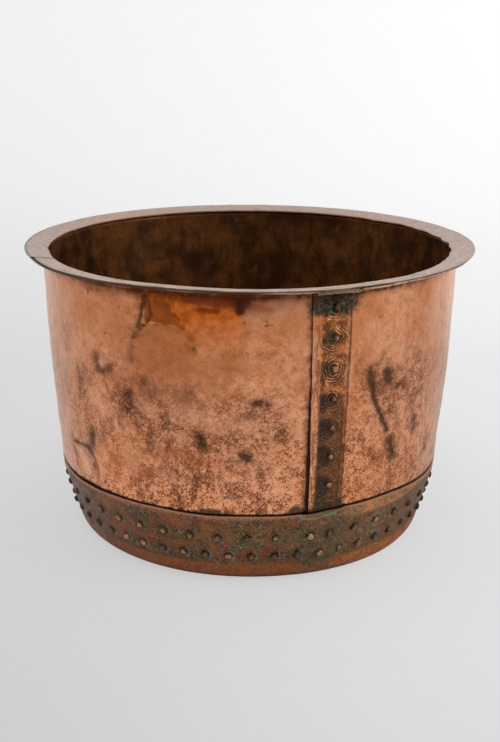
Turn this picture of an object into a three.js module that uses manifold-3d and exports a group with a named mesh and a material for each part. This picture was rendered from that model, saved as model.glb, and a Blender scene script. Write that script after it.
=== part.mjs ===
// A riveted sheet copper log bucket: a lapped wall, a raised base pan, a rim ring and its rivets.
// Millimetres, +Z up, the floor at zero and the axis of the bucket on Z. The front faces -Y.
import * as THREE from 'three';
import { mergeVertices } from 'three/addons/utils/BufferGeometryUtils.js';
import Module from 'manifold-3d';

const wasm = await Module();
wasm.setup();

// Sheets: height, thicknesses and the clearance kept between pieces that seat on each other
const overallHeight = 400;
const wallThickness = 2;
const panThickness = 2.2;
const ringThickness = 2;
const clearance = 0.3;
const cutOverrun = 4;

// Wall: outer radius under the rim, how far it narrows to the waist at the pan's edge, the bend
const wallTopRadius = 285.8;
const wallNarrowing = 13.3;
const bellyPowerShare = 1.7;
const bellyPlaceShares = [0.3, 0.64];
const rimBendRadius = 7;
const rimBendSteps = 3;
const rimSlope = THREE.MathUtils.degToRad(8.2);
const flangeReach = 21.2;

// Rim ring: how far it stands past the flange and inside the wall, and its one butt joint
const ringPastFlange = 3;
const ringInsideWall = 7.8;
const ringJointAngle = THREE.MathUtils.degToRad(-66);
const ringJointGap = 0.8;
const ringNarrowing = 4.5;
const ringNarrowingRun = 125;

// Base pan: the flat floor ends in a round corner, then the flange leans out up to its lip
const panLean = THREE.MathUtils.degToRad(15.6);
const panCornerRadius = 18;
const panCornerSteps = 3;
const panLipGap = 2.3;

// Rivet rows of the base, by their heights, and how far the sheets touch past the rows
const lowerRowHeight = 40;
const rowSpacing = 29;
const lipAboveUpperRow = 38;
const contactMargin = 16;
const upperRowCount = 46;
const lowerRowCount = 55;
const upperRowStart = THREE.MathUtils.degToRad(-0.5);
const lowerRowStart = THREE.MathUtils.degToRad(0.9);

// Upright seam: the wall's outer end is joggled out over its inner end
const seamEdgeAngle = THREE.MathUtils.degToRad(15.5);
const lapWidth = 46;
const joggleRun = 7;
const innerEndSetback = 3;
const seamRivetCount = 7;
const seamRivetFromEdge = 28;
const seamRivetBelowTop = 29;
const seamRivetAboveLip = 33;

// The pan's flange steps out over the seam between these runs beside it
const panStepRun = 6;
const panStepLead = 2;

// Rivets: a domed head outside, a shank and a clenched tail inside
const baseHeadRadius = 5.5;
const baseHeadHeight = 4.5;
const seamHeadRadius = 5;
const seamHeadHeight = 3.6;
const domeRadiusShare = 0.72;
const domeHeightShare = 0.78;
const shankRadius = 2.6;
const tailRadius = 4.4;
const tailHeight = 1.6;
const headSides = 7;
const shankSides = 6;
const rivetSideMargin = 1;

// Facets round the axis: round pieces share these angles, so their faces stay parallel
const facets = 60;
const facetAngle = 2 * Math.PI / facets;
const facetSagShare = 1 - Math.cos(facetAngle / 2);

// Sizes worked out from those above
const lapLift = wallThickness + clearance;
const upperRowHeight = lowerRowHeight + rowSpacing;
const panLipHeight = upperRowHeight + lipAboveUpperRow;
const waistRadius = wallTopRadius - wallNarrowing;
const panLipRadius = waistRadius + panLipGap + panThickness;
const flangeRadius = wallTopRadius + flangeReach;
const rimRadius = flangeRadius + ringPastFlange;
const ringInnerRadius = wallTopRadius - ringInsideWall;
const angleAtWall = (length) => length / wallTopRadius;
const seamCreaseAngle = seamEdgeAngle + angleAtWall(lapWidth);
const joggleEndAngle = seamCreaseAngle + angleAtWall(joggleRun);
const innerEndAngle = seamCreaseAngle - angleAtWall(innerEndSetback);
const panStepEnd = seamEdgeAngle - angleAtWall(panStepLead);
const panStepStart = panStepEnd - angleAtWall(panStepRun);
const panReturnStart = seamCreaseAngle + angleAtWall(panStepLead);
const panReturnEnd = joggleEndAngle + angleAtWall(panStepLead);

// Turn an angle from the front, towards +X, with a radius and a height into a point
function pointAt(angle, radius, height) {
  return new THREE.Vector3(radius * Math.sin(angle), -radius * Math.cos(angle), height);
}

// A profile runs along a sheet's outer face. Each corner keeps a mitred direction, so that the
// face moved out or in along it stays parallel to the first.
function mitred(points) {
  return points.map((point, index) => {
    const [radius, height] = point;
    const beside = [[points[index - 1], point], [point, points[index + 1]]];
    const sides = beside.filter(([from, to]) => from && to).map(([from, to]) => outwardOf(from, to));
    const across = sides.reduce((sum, side) => sum + side[0], 0) / sides.length;
    const upward = sides.reduce((sum, side) => sum + side[1], 0) / sides.length;
    const square = across * across + upward * upward;
    return { radius, height, mitre: [across / square, upward / square] };
  });
}

// The outward direction of a profile's stretch, as shares of a radius and a height
function outwardOf(from, to) {
  const run = [to[0] - from[0], to[1] - from[1]];
  const length = Math.hypot(run[0], run[1]);
  return [run[1] / length, -run[0] / length];
}

// The face point at a height on a profile, with its outward direction
function faceAt(points, height) {
  const next = points.findIndex(([, level]) => level > height);
  const [low, high] = [points[next - 1], points[next]];
  const share = (height - low[1]) / (high[1] - low[1]);
  return { radius: low[0] + (high[0] - low[0]) * share, outward: outwardOf(low, high) };
}

// Points of a fillet, its first and last included, from one heading to another
function fillet(centre, radius, fromAngle, toAngle, steps) {
  return Array.from({ length: steps + 1 }, (_, step) => {
    const angle = fromAngle + (toAngle - fromAngle) * step / steps;
    return [centre[0] + radius * Math.cos(angle), centre[1] + radius * Math.sin(angle)];
  });
}

// All the angles of a sheet from start to end: its own breaks and the shared facet angles between
function sheetAngles(start, end, breaks) {
  const angles = [start, end, ...breaks];
  for (let index = Math.ceil(start / facetAngle); index * facetAngle < end; index += 1) {
    angles.push(index * facetAngle);
  }
  const inside = angles.filter((angle) => angle >= start && angle <= end).sort((a, b) => a - b);
  const least = facetAngle / facets;
  return inside.filter((angle, index) => {
    const nearest = index > 0 ? angle - inside[index - 1] : facetAngle;
    return nearest > least || angle === end;
  });
}

// A closed solid from triangles: doubled vertices merged, flat triangles at the poles dropped
function solidFrom(geometry) {
  const bare = geometry.clone();
  bare.deleteAttribute('normal');
  bare.deleteAttribute('uv');
  const merged = mergeVertices(bare);
  const index = merged.getIndex().array;
  const triangles = [];
  for (let corner = 0; corner < index.length; corner += 3) {
    const [a, b, c] = [index[corner], index[corner + 1], index[corner + 2]];
    if (a !== b && b !== c && c !== a) {
      triangles.push(a, b, c);
    }
  }
  return new wasm.Manifold(new wasm.Mesh({
    numProp: 3,
    vertProperties: Float32Array.from(merged.getAttribute('position').array),
    triVerts: Uint32Array.from(triangles),
  }));
}

function geometryFrom(solid) {
  const mesh = solid.getMesh();
  const geometry = new THREE.BufferGeometry();
  geometry.setAttribute('position', new THREE.BufferAttribute(mesh.vertProperties, 3));
  geometry.setIndex(new THREE.BufferAttribute(mesh.triVerts, 1));
  geometry.computeVertexNormals();
  return geometry;
}

// A bent sheet: its profile is carried round the axis through the angles. lift says how far the
// outer face is moved out at an angle and a profile corner; the inner face follows a thickness in.
function sheetSolid({ profileAt, angles, thickness, lift, closed }) {
  const positions = [];
  const corners = profileAt(angles[0]).length;
  for (const angle of angles) {
    const profile = mitred(profileAt(angle));
    const outer = profile.map(({ radius, height, mitre }, corner) => {
      const out = lift(angle, corner);
      return [radius + mitre[0] * out, height + mitre[1] * out];
    });
    const inner = outer.map(([radius, height], corner) => {
      const { mitre } = profile[corner];
      return [radius - mitre[0] * thickness, height - mitre[1] * thickness];
    });
    for (const [radius, height] of [...outer, ...inner.reverse()]) {
      positions.push(...pointAt(angle, radius, height));
    }
  }
  const ring = 2 * corners;
  const triangles = [];
  const addQuad = (a, b, c, d) => triangles.push(a, b, c, a, c, d);
  const columns = closed ? angles.length : angles.length - 1;
  for (let column = 0; column < columns; column += 1) {
    const here = column * ring;
    const there = (column + 1) % angles.length * ring;
    for (let side = 0; side < ring; side += 1) {
      const next = (side + 1) % ring;
      addQuad(here + side, there + side, there + next, here + next);
    }
  }
  if (!closed) {
    const last = (angles.length - 1) * ring;
    for (let corner = 0; corner + 1 < corners; corner += 1) {
      const back = ring - 1 - corner;
      addQuad(back, corner, corner + 1, back - 1);
      addQuad(last + corner, last + back, last + back - 1, last + corner + 1);
    }
  }
  const geometry = new THREE.BufferGeometry();
  geometry.setAttribute('position', new THREE.Float32BufferAttribute(positions, 3));
  geometry.setIndex(triangles);
  return solidFrom(geometry);
}

// A round solid on the Y axis from half an outline
function turnedSolid(outline, sides, matrix = new THREE.Matrix4()) {
  const points = outline.map(([radius, height]) => new THREE.Vector2(radius, height));
  return solidFrom(new THREE.LatheGeometry(points, sides).applyMatrix4(matrix));
}

// Base pan: floor, round corner, leaning flange. The corner's end is where the flange begins.
const cornerTurn = Math.PI / 2 - panLean;
const cornerEndHeight = panCornerRadius * (1 - Math.cos(cornerTurn));
const cornerEndRadius = panLipRadius - (panLipHeight - cornerEndHeight) * Math.tan(panLean);
const panFloorRadius = cornerEndRadius - panCornerRadius * Math.sin(cornerTurn);
const panCorner = fillet([panFloorRadius, panCornerRadius], panCornerRadius,
  -Math.PI / 2, -Math.PI / 2 + cornerTurn, panCornerSteps);
const panProfile = [[0, 0], ...panCorner, [panLipRadius, panLipHeight]];

// How far the pan's flange steps out over the wall's lap: fully on the flange, less on the corner
function panLift(angle, corner) {
  const rise = THREE.MathUtils.clamp((angle - panStepStart) / (panStepEnd - panStepStart), 0, 1);
  const fall = THREE.MathUtils.clamp((panReturnEnd - angle) / (panReturnEnd - panReturnStart), 0, 1);
  const depthShare = Math.min(Math.max(corner - 1, 0) / panCornerSteps, 1);
  return lapLift * Math.min(rise, fall) * depthShare;
}

// Rim ring: its underside rises outwards, and beside the joint its outer edge is cut narrower
const ringFaceHeight = (radius) => overallHeight - ringThickness * Math.cos(rimSlope)
  - (rimRadius - radius) * Math.tan(rimSlope);
const ringJointHalf = ringJointGap / 2 / rimRadius;
const ringNarrowEnd = ringJointAngle + ringNarrowingRun / rimRadius;

function ringProfile(angle) {
  const share = THREE.MathUtils.clamp((ringNarrowEnd - angle) / (ringNarrowEnd - ringJointAngle), 0, 1);
  const edge = rimRadius - ringNarrowing * share;
  return [[ringInnerRadius, ringFaceHeight(ringInnerRadius)], [edge, ringFaceHeight(edge)]];
}

// Wall: its foot lies inside the pan's flange up to the contact's end, then the belly curves up
// to the bend, and the flange slopes up outwards under the ring
const panFaceRadius = (height) => panLipRadius - (panLipHeight - height) * Math.tan(panLean);
const wallInPanRadius = (height) => panFaceRadius(height) - (panThickness + clearance) / Math.cos(panLean);
const flangeFaceHeight = (radius) => ringFaceHeight(radius)
  - (clearance + wallThickness) / Math.cos(rimSlope);
const wallFootHeight = lowerRowHeight - contactMargin;
const contactEndHeight = upperRowHeight + contactMargin;
const bendCentreRadius = wallTopRadius + rimBendRadius;
const bendCentreHeight = flangeFaceHeight(bendCentreRadius) - rimBendRadius / Math.cos(rimSlope);
const bellyPoints = [0, ...bellyPlaceShares].map((share) => [
  wallTopRadius - wallNarrowing * (1 - share) ** bellyPowerShare,
  panLipHeight + (bendCentreHeight - panLipHeight) * share,
]);
const rimBend = fillet([bendCentreRadius, bendCentreHeight], rimBendRadius,
  Math.PI, Math.PI / 2 + rimSlope, rimBendSteps);
const wallProfile = [
  [wallInPanRadius(wallFootHeight), wallFootHeight],
  [wallInPanRadius(contactEndHeight), contactEndHeight],
  ...bellyPoints,
  ...rimBend,
  [flangeRadius, flangeFaceHeight(flangeRadius)],
];

// The wall's outer end lies a sheet's thickness out, until the joggle brings it back in
function wallLift(angle) {
  const share = (joggleEndAngle - angle) / (joggleEndAngle - seamCreaseAngle);
  return lapLift * THREE.MathUtils.clamp(share, 0, 1);
}

// A rivet's place: a point on the outer face, a frame whose Y points out, and its grip, which is
// the thickness of the sheets it holds and the little that a flat facet lies inside the round
function rivetPlace(profile, angle, height, lift, sheets) {
  const { radius, outward } = faceAt(profile, height);
  const around = pointAt(angle + Math.PI / 2, 1, 0);
  const out = pointAt(angle, outward[0], outward[1]);
  const frame = new THREE.Matrix4().makeBasis(around, out, around.clone().cross(out));
  frame.setPosition(pointAt(angle, radius + outward[0] * lift, height + outward[1] * lift));
  return { frame, grip: sheets + radius * facetSagShare };
}

// A rivet of the base that would land on a step of the sheets moves aside to the nearest clear place
function clearOfSteps(angle) {
  const side = (baseHeadRadius + rivetSideMargin) / wallInPanRadius(wallFootHeight);
  for (const [from, to] of [[panStepStart, seamEdgeAngle], [innerEndAngle, panReturnEnd]]) {
    const [low, high] = [from - side, to + side];
    if (angle > low && angle < high) {
      return angle - low < high - angle ? low : high;
    }
  }
  return angle;
}

function baseRow(count, start, height) {
  return Array.from({ length: count }, (_, index) => {
    const angle = clearOfSteps(start + 2 * Math.PI * index / count);
    const lift = panLift(angle, panProfile.length - 1);
    return rivetPlace(panProfile, angle, height, lift, panThickness + clearance + wallThickness + lift);
  });
}

const upperRow = baseRow(upperRowCount, upperRowStart, upperRowHeight);
const lowerRow = baseRow(lowerRowCount, lowerRowStart, lowerRowHeight);
const seamRow = Array.from({ length: seamRivetCount }, (_, index) => {
  const angle = seamEdgeAngle + angleAtWall(seamRivetFromEdge);
  const [low, high] = [panLipHeight + seamRivetAboveLip, overallHeight - seamRivetBelowTop];
  const height = low + (high - low) * index / (seamRivetCount - 1);
  return rivetPlace(wallProfile, angle, height, lapLift, lapLift + wallThickness);
});

// Rivet outlines, from the tail up to the head, with the outer face of the sheets at zero
function headOutline(radius, height, seat) {
  return [[0, seat], [radius, seat], [radius * domeRadiusShare, height * domeHeightShare], [0, height]];
}

function shankOutline(grip, top) {
  const seat = -grip - clearance;
  return [[0, seat - tailHeight], [tailRadius, seat], [shankRadius, seat], [shankRadius, top], [0, top]];
}

function holeOutline(grip) {
  const radius = shankRadius + clearance / Math.cos(Math.PI / shankSides);
  const [low, high] = [-grip - cutOverrun, cutOverrun];
  return [[0, low], [radius, low], [radius, high], [0, high]];
}

function rivetSolid(grip, radius, height) {
  const head = turnedSolid(headOutline(radius, height, clearance), headSides);
  return head.add(turnedSolid(shankOutline(grip, clearance + height / 2), shankSides));
}

function withHoles(solid, places) {
  return places.reduce((rest, { frame, grip }) => {
    return rest.subtract(turnedSolid(holeOutline(grip), shankSides, frame));
  }, solid);
}

// The lower row's heads are one with the pan and rise from its flange
function withLowerRow(solid) {
  const outline = headOutline(baseHeadRadius, baseHeadHeight, -panThickness / 2);
  return lowerRow.reduce((rest, { frame }) => rest.add(turnedSolid(outline, headSides, frame)), solid);
}

// Sheet metal finishes
const polishedCopper = { color: 0xc9835f, roughness: 0.35, metalness: 1 };
const darkCopper = { color: 0x7d4a37, roughness: 0.5, metalness: 1 };
const paleCopper = { color: 0xb9a096, roughness: 0.3, metalness: 1 };
const stainedCopper = { color: 0x6b4a36, roughness: 0.5, metalness: 1 };

function addPiece(group, name, geometry, finish, frame = new THREE.Matrix4()) {
  const piece = new THREE.Mesh(geometry, new THREE.MeshStandardMaterial({ ...finish, flatShading: true }));
  piece.name = name;
  piece.applyMatrix4(frame);
  group.add(piece);
}

const bucket = new THREE.Group();

const wall = sheetSolid({
  profileAt: () => wallProfile,
  angles: sheetAngles(seamEdgeAngle, 2 * Math.PI + innerEndAngle, [seamCreaseAngle, joggleEndAngle]),
  thickness: wallThickness,
  lift: wallLift,
  closed: false,
});
addPiece(bucket, 'wall_sheet', geometryFrom(withHoles(wall, [...upperRow, ...seamRow])), polishedCopper);

const panSteps = [panStepStart, panStepEnd, panReturnStart, panReturnEnd];
const pan = sheetSolid({
  profileAt: () => panProfile,
  angles: sheetAngles(0, 2 * Math.PI, panSteps).slice(0, -1),
  thickness: panThickness,
  lift: panLift,
  closed: true,
});
addPiece(bucket, 'base_pan', geometryFrom(withHoles(withLowerRow(pan), upperRow)), darkCopper);

const ring = sheetSolid({
  profileAt: ringProfile,
  angles: sheetAngles(ringJointAngle + ringJointHalf, ringJointAngle + 2 * Math.PI - ringJointHalf,
    [ringNarrowEnd]),
  thickness: ringThickness,
  lift: () => 0,
  closed: false,
});
addPiece(bucket, 'rim_ring', geometryFrom(ring), paleCopper);

// Loose rivets, each its own piece in its own frame
for (const [rowName, row, radius, height] of [
  ['seam_rivet', seamRow, seamHeadRadius, seamHeadHeight],
  ['base_rivet', upperRow, baseHeadRadius, baseHeadHeight],
]) {
  const rivets = new THREE.Group();
  row.forEach(({ frame, grip }, index) => {
    const name = `${rowName}_${String(index + 1).padStart(2, '0')}`;
    addPiece(rivets, name, geometryFrom(rivetSolid(grip, radius, height)), stainedCopper, frame);
  });
  bucket.add(rivets);
}

export default bucket;
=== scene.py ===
# %% [markdown]
# A round bucket of riveted sheet copper.
# The packed model is the frame: it says where every sheet and rivet is. Everything made here is a finer
# surface laid over that frame, so the script first loads it and measures the pieces that it will dress.

# %% Load the frame
import math

import bpy
import numpy as np
from mathutils import Matrix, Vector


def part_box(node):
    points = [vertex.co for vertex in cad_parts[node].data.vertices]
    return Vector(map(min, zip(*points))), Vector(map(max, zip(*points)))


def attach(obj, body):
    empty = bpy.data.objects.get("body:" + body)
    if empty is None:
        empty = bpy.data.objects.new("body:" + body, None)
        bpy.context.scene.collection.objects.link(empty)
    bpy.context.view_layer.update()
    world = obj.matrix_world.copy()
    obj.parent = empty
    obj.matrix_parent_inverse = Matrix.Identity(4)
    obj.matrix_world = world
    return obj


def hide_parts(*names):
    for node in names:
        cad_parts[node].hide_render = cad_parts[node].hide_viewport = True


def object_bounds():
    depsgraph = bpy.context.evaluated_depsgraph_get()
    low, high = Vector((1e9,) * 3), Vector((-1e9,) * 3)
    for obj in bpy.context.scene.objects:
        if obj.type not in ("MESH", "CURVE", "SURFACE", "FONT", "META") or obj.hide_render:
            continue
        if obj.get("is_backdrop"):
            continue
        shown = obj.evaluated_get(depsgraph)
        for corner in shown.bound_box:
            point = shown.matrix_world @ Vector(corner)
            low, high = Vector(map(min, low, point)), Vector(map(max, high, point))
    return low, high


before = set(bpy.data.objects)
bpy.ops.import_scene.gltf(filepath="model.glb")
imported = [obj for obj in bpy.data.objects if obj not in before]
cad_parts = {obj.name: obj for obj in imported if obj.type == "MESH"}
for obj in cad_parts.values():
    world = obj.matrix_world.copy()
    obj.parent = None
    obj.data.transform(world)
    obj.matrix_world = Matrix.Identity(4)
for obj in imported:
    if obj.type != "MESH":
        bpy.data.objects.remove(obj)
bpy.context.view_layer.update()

mm = 0.001

# %% [markdown]
# The large sizes are read from the frame's boxes, so they can't drift from it. What a box doesn't show,
# such as the thickness of a sheet, is a number here, the same as in the packed model.

# %% Sizes read from the frame, and the sheet sizes that go with them
rim_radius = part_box("rim_ring")[1].x
rim_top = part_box("rim_ring")[1].z
flange_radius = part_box("wall_sheet")[1].x
pan_lip_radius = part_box("base_pan")[1].x
pan_lip_height = 107 * mm
wall_thickness = 2 * mm
pan_thickness = 2.2 * mm
ring_thickness = 2 * mm
seat_gap = 0.3 * mm
lap_lift = wall_thickness + seat_gap
print("rim radius", round(rim_radius, 4), "pan lip radius", round(pan_lip_radius, 4))

# %% [markdown]
# The camera stands where the photograph was taken. The rim and the base are two circles, and the way
# their ellipses differ gives the camera's height, distance and tilt. The lens is set to match.

# %% Camera
camera_distance = 1.5
camera_height = 0.687
camera_side = 0.0011
camera_pitch = math.radians(17.80)
camera_roll = math.radians(0.26)

camera = bpy.data.objects.new("camera", bpy.data.cameras.new("camera"))
camera.data.sensor_width = 36
camera.data.lens = 52.5
bpy.context.scene.collection.objects.link(camera)
camera.matrix_world = (
    Matrix.Translation((camera_side, -camera_distance, camera_height))
    @ Matrix.Rotation(math.pi / 2 - camera_pitch, 4, "X")
    @ Matrix.Rotation(camera_roll, 4, "Z")
)
bpy.context.scene.camera = camera
print("camera at", [round(v, 3) for v in camera.matrix_world.translation])

# %% [markdown]
# A mesh here is a grid: one array of points, columns going round the bucket and rows going along the
# sheet's section. Faces are the cells of that grid. The section closes on itself, out along one face of
# the sheet and back along the other, so the sheet has a real thickness.

# %% Grids into meshes
def grid_faces(columns, rows, closed_round, closed_section):
    """The four corners of each cell of a grid of points, counted column by column. A closed direction
    also joins its last line to its first."""
    column = np.arange(columns if closed_round else columns - 1)
    row = np.arange(rows if closed_section else rows - 1)
    here, up = np.meshgrid(column, row, indexing="ij")
    there, above = (here + 1) % columns, (up + 1) % rows
    corners = (here * rows + up, there * rows + up, there * rows + above, here * rows + above)
    return np.stack([c.ravel() for c in corners], axis=1)


def make_piece(name, points, faces, fans=(), sharp=35):
    """One mesh object at the origin from an array of points, an array of four-cornered faces, and more
    arrays of faces with other numbers of corners. It is smooth except where faces meet at more than sharp
    degrees. If the volume that the faces enclose is negative they point inwards, and all are turned."""
    points = points.reshape(-1, 3)
    a, b, c, d = (points[faces[:, k]] for k in range(4))
    volume = (np.cross(a, b) * c).sum() + (np.cross(a, c) * d).sum()
    turn = -1 if volume < 0 else 1
    every = [face for block in (faces, *fans) for face in block[:, ::turn].tolist()]
    mesh = bpy.data.meshes.new(name)
    mesh.from_pydata(points, [], every)
    mesh.update()
    mesh.polygons.foreach_set("use_smooth", np.ones(len(every), bool))
    mesh.set_sharp_from_angle(angle=math.radians(sharp))
    piece = bpy.data.objects.new(name, mesh)
    bpy.context.scene.collection.objects.link(piece)
    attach(piece, "root")
    print(name, "has", len(points), "points and", sum(len(face) - 2 for face in every), "triangles")
    return piece


def end_caps(columns, rows):
    """The flat ends of a strip that doesn't close round: its first column turned over, and its last."""
    return [np.arange(rows)[None, ::-1], (columns - 1) * rows + np.arange(rows)[None, :]]


def round_points(radius, height, degrees):
    """Points at a radius, a height and an angle round the bucket. The front is at zero."""
    a = np.radians(degrees)
    return np.stack([radius * np.sin(a), -radius * np.cos(a), height], axis=-1)


def both_faces(outer, inner):
    """Rows of a closed section: up the outer face, then down the inner one."""
    return np.concatenate([outer, inner[:, ::-1]], axis=1)


def thickened(R, H, out, rows, thickness):
    """The closed section of a sheet from the radius, height and outward direction of its outer face. The
    inner face has only some of the rows, each one thickness further in."""
    return [both_faces(face, face[:, rows] - out[:, rows, k] * thickness) for k, face in enumerate((R, H))]


def note(piece, name, values):
    """Write one number for each point of a piece, for its finish to read."""
    field = piece.data.attributes.new(name, "FLOAT", "POINT")
    field.data.foreach_set("value", np.ascontiguousarray(values, np.float32).ravel())


# %% [markdown]
# Hammered copper is uneven in two ways. It wanders slowly over the width of a hand, and it carries marks
# at known places. The slow part is a random field that closes on itself round the bucket. The known part
# is drawn as strokes: a stroke is a short line on the unrolled wall, with a width.

# %% Uneven fields on the unrolled sheet
def smooth(value, low, high):
    """0 below low, 1 above high, and an S between them."""
    share = np.clip((value - low) / (high - low), 0, 1)
    return share * share * (3 - 2 * share)


def within(value, rise_from, rise_to, fall_from, fall_to):
    """1 from rise_to to fall_from, and 0 outside rise_from and fall_to."""
    return smooth(value, rise_from, rise_to) * (1 - smooth(value, fall_from, fall_to))


def hump(distance, width):
    """A bell of height 1 at distance 0, down to a third at one width."""
    return np.exp(-((distance / width) ** 2))


field_rows = 97  # rows of random values up the sheet, more than any field here reaches


def wander(turn, height, seed, cells, cell_height):
    """A random field from -1 to 1. Random values stand at the corners of cells, so many cells to a turn,
    and each point blends the four corners round it by smooth shares."""
    table = np.random.default_rng(seed).uniform(-1, 1, (cells, field_rows))
    x, y = turn * cells, height / cell_height
    left, low = np.floor(x).astype(int), np.floor(y).astype(int)
    across, up = smooth(x - left, 0, 1), smooth(y - low, 0, 1)
    low_left, low_right, high_left, high_right = (
        table[(left + i) % cells, (low + j) % field_rows] for j in (0, 1) for i in (0, 1))
    below = low_left * (1 - across) + low_right * across
    above = high_left * (1 - across) + high_right * across
    return below * (1 - up) + above * up


def ripple(turn, seed, cells):
    """A random line from -1 to 1 along the turn alone."""
    return wander(turn, turn * 0, seed, cells, 1.0)


wall_scale = 280 * mm


def wrapped(degrees):
    """An angle brought to between -180 and 180 degrees."""
    return (np.asarray(degrees) + 180) % 360 - 180


def stroke(degrees, height, path, width, kind):
    """How far inside a stroke each point lies: 1 along the line through the path's places, a half at
    about its width, and 0 soon after. The distance is the least of those to the path's stretches. A soft
    stroke fades as a bell instead, with no edge, and a patch is full up to its outline."""
    x, y = np.radians(wrapped(degrees)) * wall_scale, height
    places = [(math.radians(a) * wall_scale, z * mm) for a, z in path]
    nearest = np.full(np.shape(x), 9.0)
    for (x0, y0), (x1, y1) in zip(places, places[1:] + places[-1:]):
        run = max((x1 - x0) ** 2 + (y1 - y0) ** 2, 1e-12)
        share = np.clip(((x - x0) * (x1 - x0) + (y - y0) * (y1 - y0)) / run, 0, 1)
        nearest = np.minimum(nearest, np.hypot(x - x0 - share * (x1 - x0), y - y0 - share * (y1 - y0)))
    if kind == "soft":
        return 0.62 * hump(nearest, width * mm) + 0.38 * hump(nearest, 2.3 * width * mm)
    if kind == "patch":
        return 1 - smooth(nearest, (width - 1.4) * mm, (width + 1.4) * mm)
    return 1 - smooth(nearest, 0.3 * width * mm, 1.4 * width * mm)


def strokes(degrees, height, marks, kind="line"):
    """The strongest of several strokes at each point. A mark is (half width in mm, strength, path)."""
    found = np.zeros(np.shape(degrees))
    for width, strength, path in marks:
        found = np.maximum(found, strength * stroke(degrees, height, path, width, kind))
    return found


def gathered(low, high, spacing, count=6000):
    """Places from low to high whose distance apart is spacing(place). The running sum of 1/spacing counts
    the steps taken so far, and the places are where that sum passes whole steps."""
    fine = np.linspace(low, high, count)
    density = 1 / spacing(fine)
    steps = np.concatenate([[0], np.cumsum((density[1:] + density[:-1]) / 2 * np.diff(fine))])
    return np.interp(np.linspace(0, steps[-1], int(round(steps[-1])) + 1), steps, fine)


print("one width from its middle a bell stands at", round(float(hump(1.0, 1.0)), 2))

# %% [markdown]
# The frame also says where each rivet is. The middle of a rivet's box gives its angle round the bucket
# and its height, and the rows that the sheets are dished around follow from that.

# %% Rivet places
def rivet_place(name):
    """The angle and the height of the middle of a rivet's box."""
    low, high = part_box(name)
    middle = (low + high) / 2
    return math.degrees(math.atan2(middle.x, -middle.y)), middle.z


seam_names = sorted(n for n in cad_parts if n.startswith("seam_rivet"))
upper_names = sorted(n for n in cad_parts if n.startswith("base_rivet"))
seam_places = np.array([rivet_place(n) for n in seam_names])
upper_places = np.array([rivet_place(n) for n in upper_names])
upper_row_height = 69 * mm
lower_row_height = 40 * mm
lower_count = 55
lower_start = 0.9
print(len(seam_places), "seam rivets,", len(upper_places), "upper rivets,", lower_count, "lower rivets")

# %% [markdown]
# The wall is one sheet rolled into a drum. Its section starts at the foot inside the base pan, swells a
# little like a barrel, and turns out into a flange at the top. Its outer end lies over its inner end: the
# sheet is joggled, so it steps out by its own thickness, runs flat under the rivets, and has a free edge.

# %% Wall section
wall_top_radius = 285.8 * mm
wall_narrowing = 13.3 * mm
belly_power = 1.7
rim_slope = math.radians(8.2)
rim_bend = 7 * mm
pan_lean = math.radians(15.6)
wall_foot = 24 * mm
contact_end = 85 * mm


def flange_face(radius):
    """Height of the flange's top face: the rim's top, less the slope and what the ring takes."""
    ring_under = rim_top - ring_thickness * math.cos(rim_slope) - (rim_radius - radius) * math.tan(rim_slope)
    return ring_under - (seat_gap + wall_thickness) / math.cos(rim_slope)


def pan_face(height):
    """Radius of the pan's outer face, a cone that leans out from the foot."""
    return pan_lip_radius - (pan_lip_height - height) * math.tan(pan_lean)


def wall_in_pan(height):
    """Radius of the wall's outer face where it stands inside the pan."""
    return pan_face(height) - (pan_thickness + seat_gap) / math.cos(pan_lean)


bend_radius_at = wall_top_radius + rim_bend
bend_height = flange_face(bend_radius_at) - rim_bend / math.cos(rim_slope)


def belly_radius(height):
    """The wall's outer radius from the waist to the bend: it falls short of the top radius by the
    narrowing times a power of what is left to climb."""
    share = np.clip((height - pan_lip_height) / (bend_height - pan_lip_height), 0, 1)
    return wall_top_radius - wall_narrowing * (1 - share) ** belly_power


def stacked(*stretches):
    """Several runs of (radius, height) points as one, each joint kept once."""
    kept = [np.column_stack(s)[:-1] for s in stretches[:-1]] + [np.column_stack(stretches[-1])]
    return np.concatenate(kept)


def outward_of(section):
    """The outward direction at each point of a section that climbs: its run turned by a right angle."""
    run = np.gradient(section, axis=0)
    run /= np.linalg.norm(run, axis=1, keepdims=True)
    return np.column_stack([run[:, 1], -run[:, 0]])


def lip_dip(degrees):
    """How far the pan's edge was trimmed below its full height, read off between a few angles."""
    at = [-180, -110, -72, -57, -48, -40, -27, -20, -12, 0, 11, 17, 23, 28, 43, 50, 56, 63, 72, 110, 180]
    cut = [4, 6, 11, 9, 7.2, 5.2, 4.0, 4.4, 5.4, 4.4, 5.4, 4.0, 2.0, 2.8, 3.2, 5.8, 7.8, 10.5, 13, 6, 4]
    return np.interp(wrapped(degrees), at, cut) * mm


row_step = 2.0 * mm
foot_heights = np.linspace(wall_foot, contact_end, 6)
waist_heights = np.linspace(contact_end, pan_lip_height, 17)
belly_heights = np.arange(pan_lip_height, bend_height, row_step)
belly_heights[-1] = bend_height
bend_angles = np.linspace(math.pi, math.pi / 2 + rim_slope, 9)
flange_radii = np.linspace(bend_radius_at + rim_bend * math.cos(bend_angles[-1]), flange_radius, 7)
waist_radii = np.linspace(wall_in_pan(contact_end), belly_radius(pan_lip_height), 17)
wall_section = stacked(
    (wall_in_pan(foot_heights), foot_heights),
    (waist_radii, waist_heights),
    (belly_radius(belly_heights), belly_heights),
    (bend_radius_at + rim_bend * np.cos(bend_angles), bend_height + rim_bend * np.sin(bend_angles)),
    (flange_radii, flange_face(flange_radii)),
)
wall_outward = outward_of(wall_section)
print("wall section has", len(wall_section), "points, from", wall_section[0], "to", wall_section[-1])

# %% [markdown]
# The lap is 46 mm wide and starts right of the front. Columns of points are gathered where the shape
# turns quickly, in the lap and at its edges, and are spread out at the back where nothing is drawn.

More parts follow.
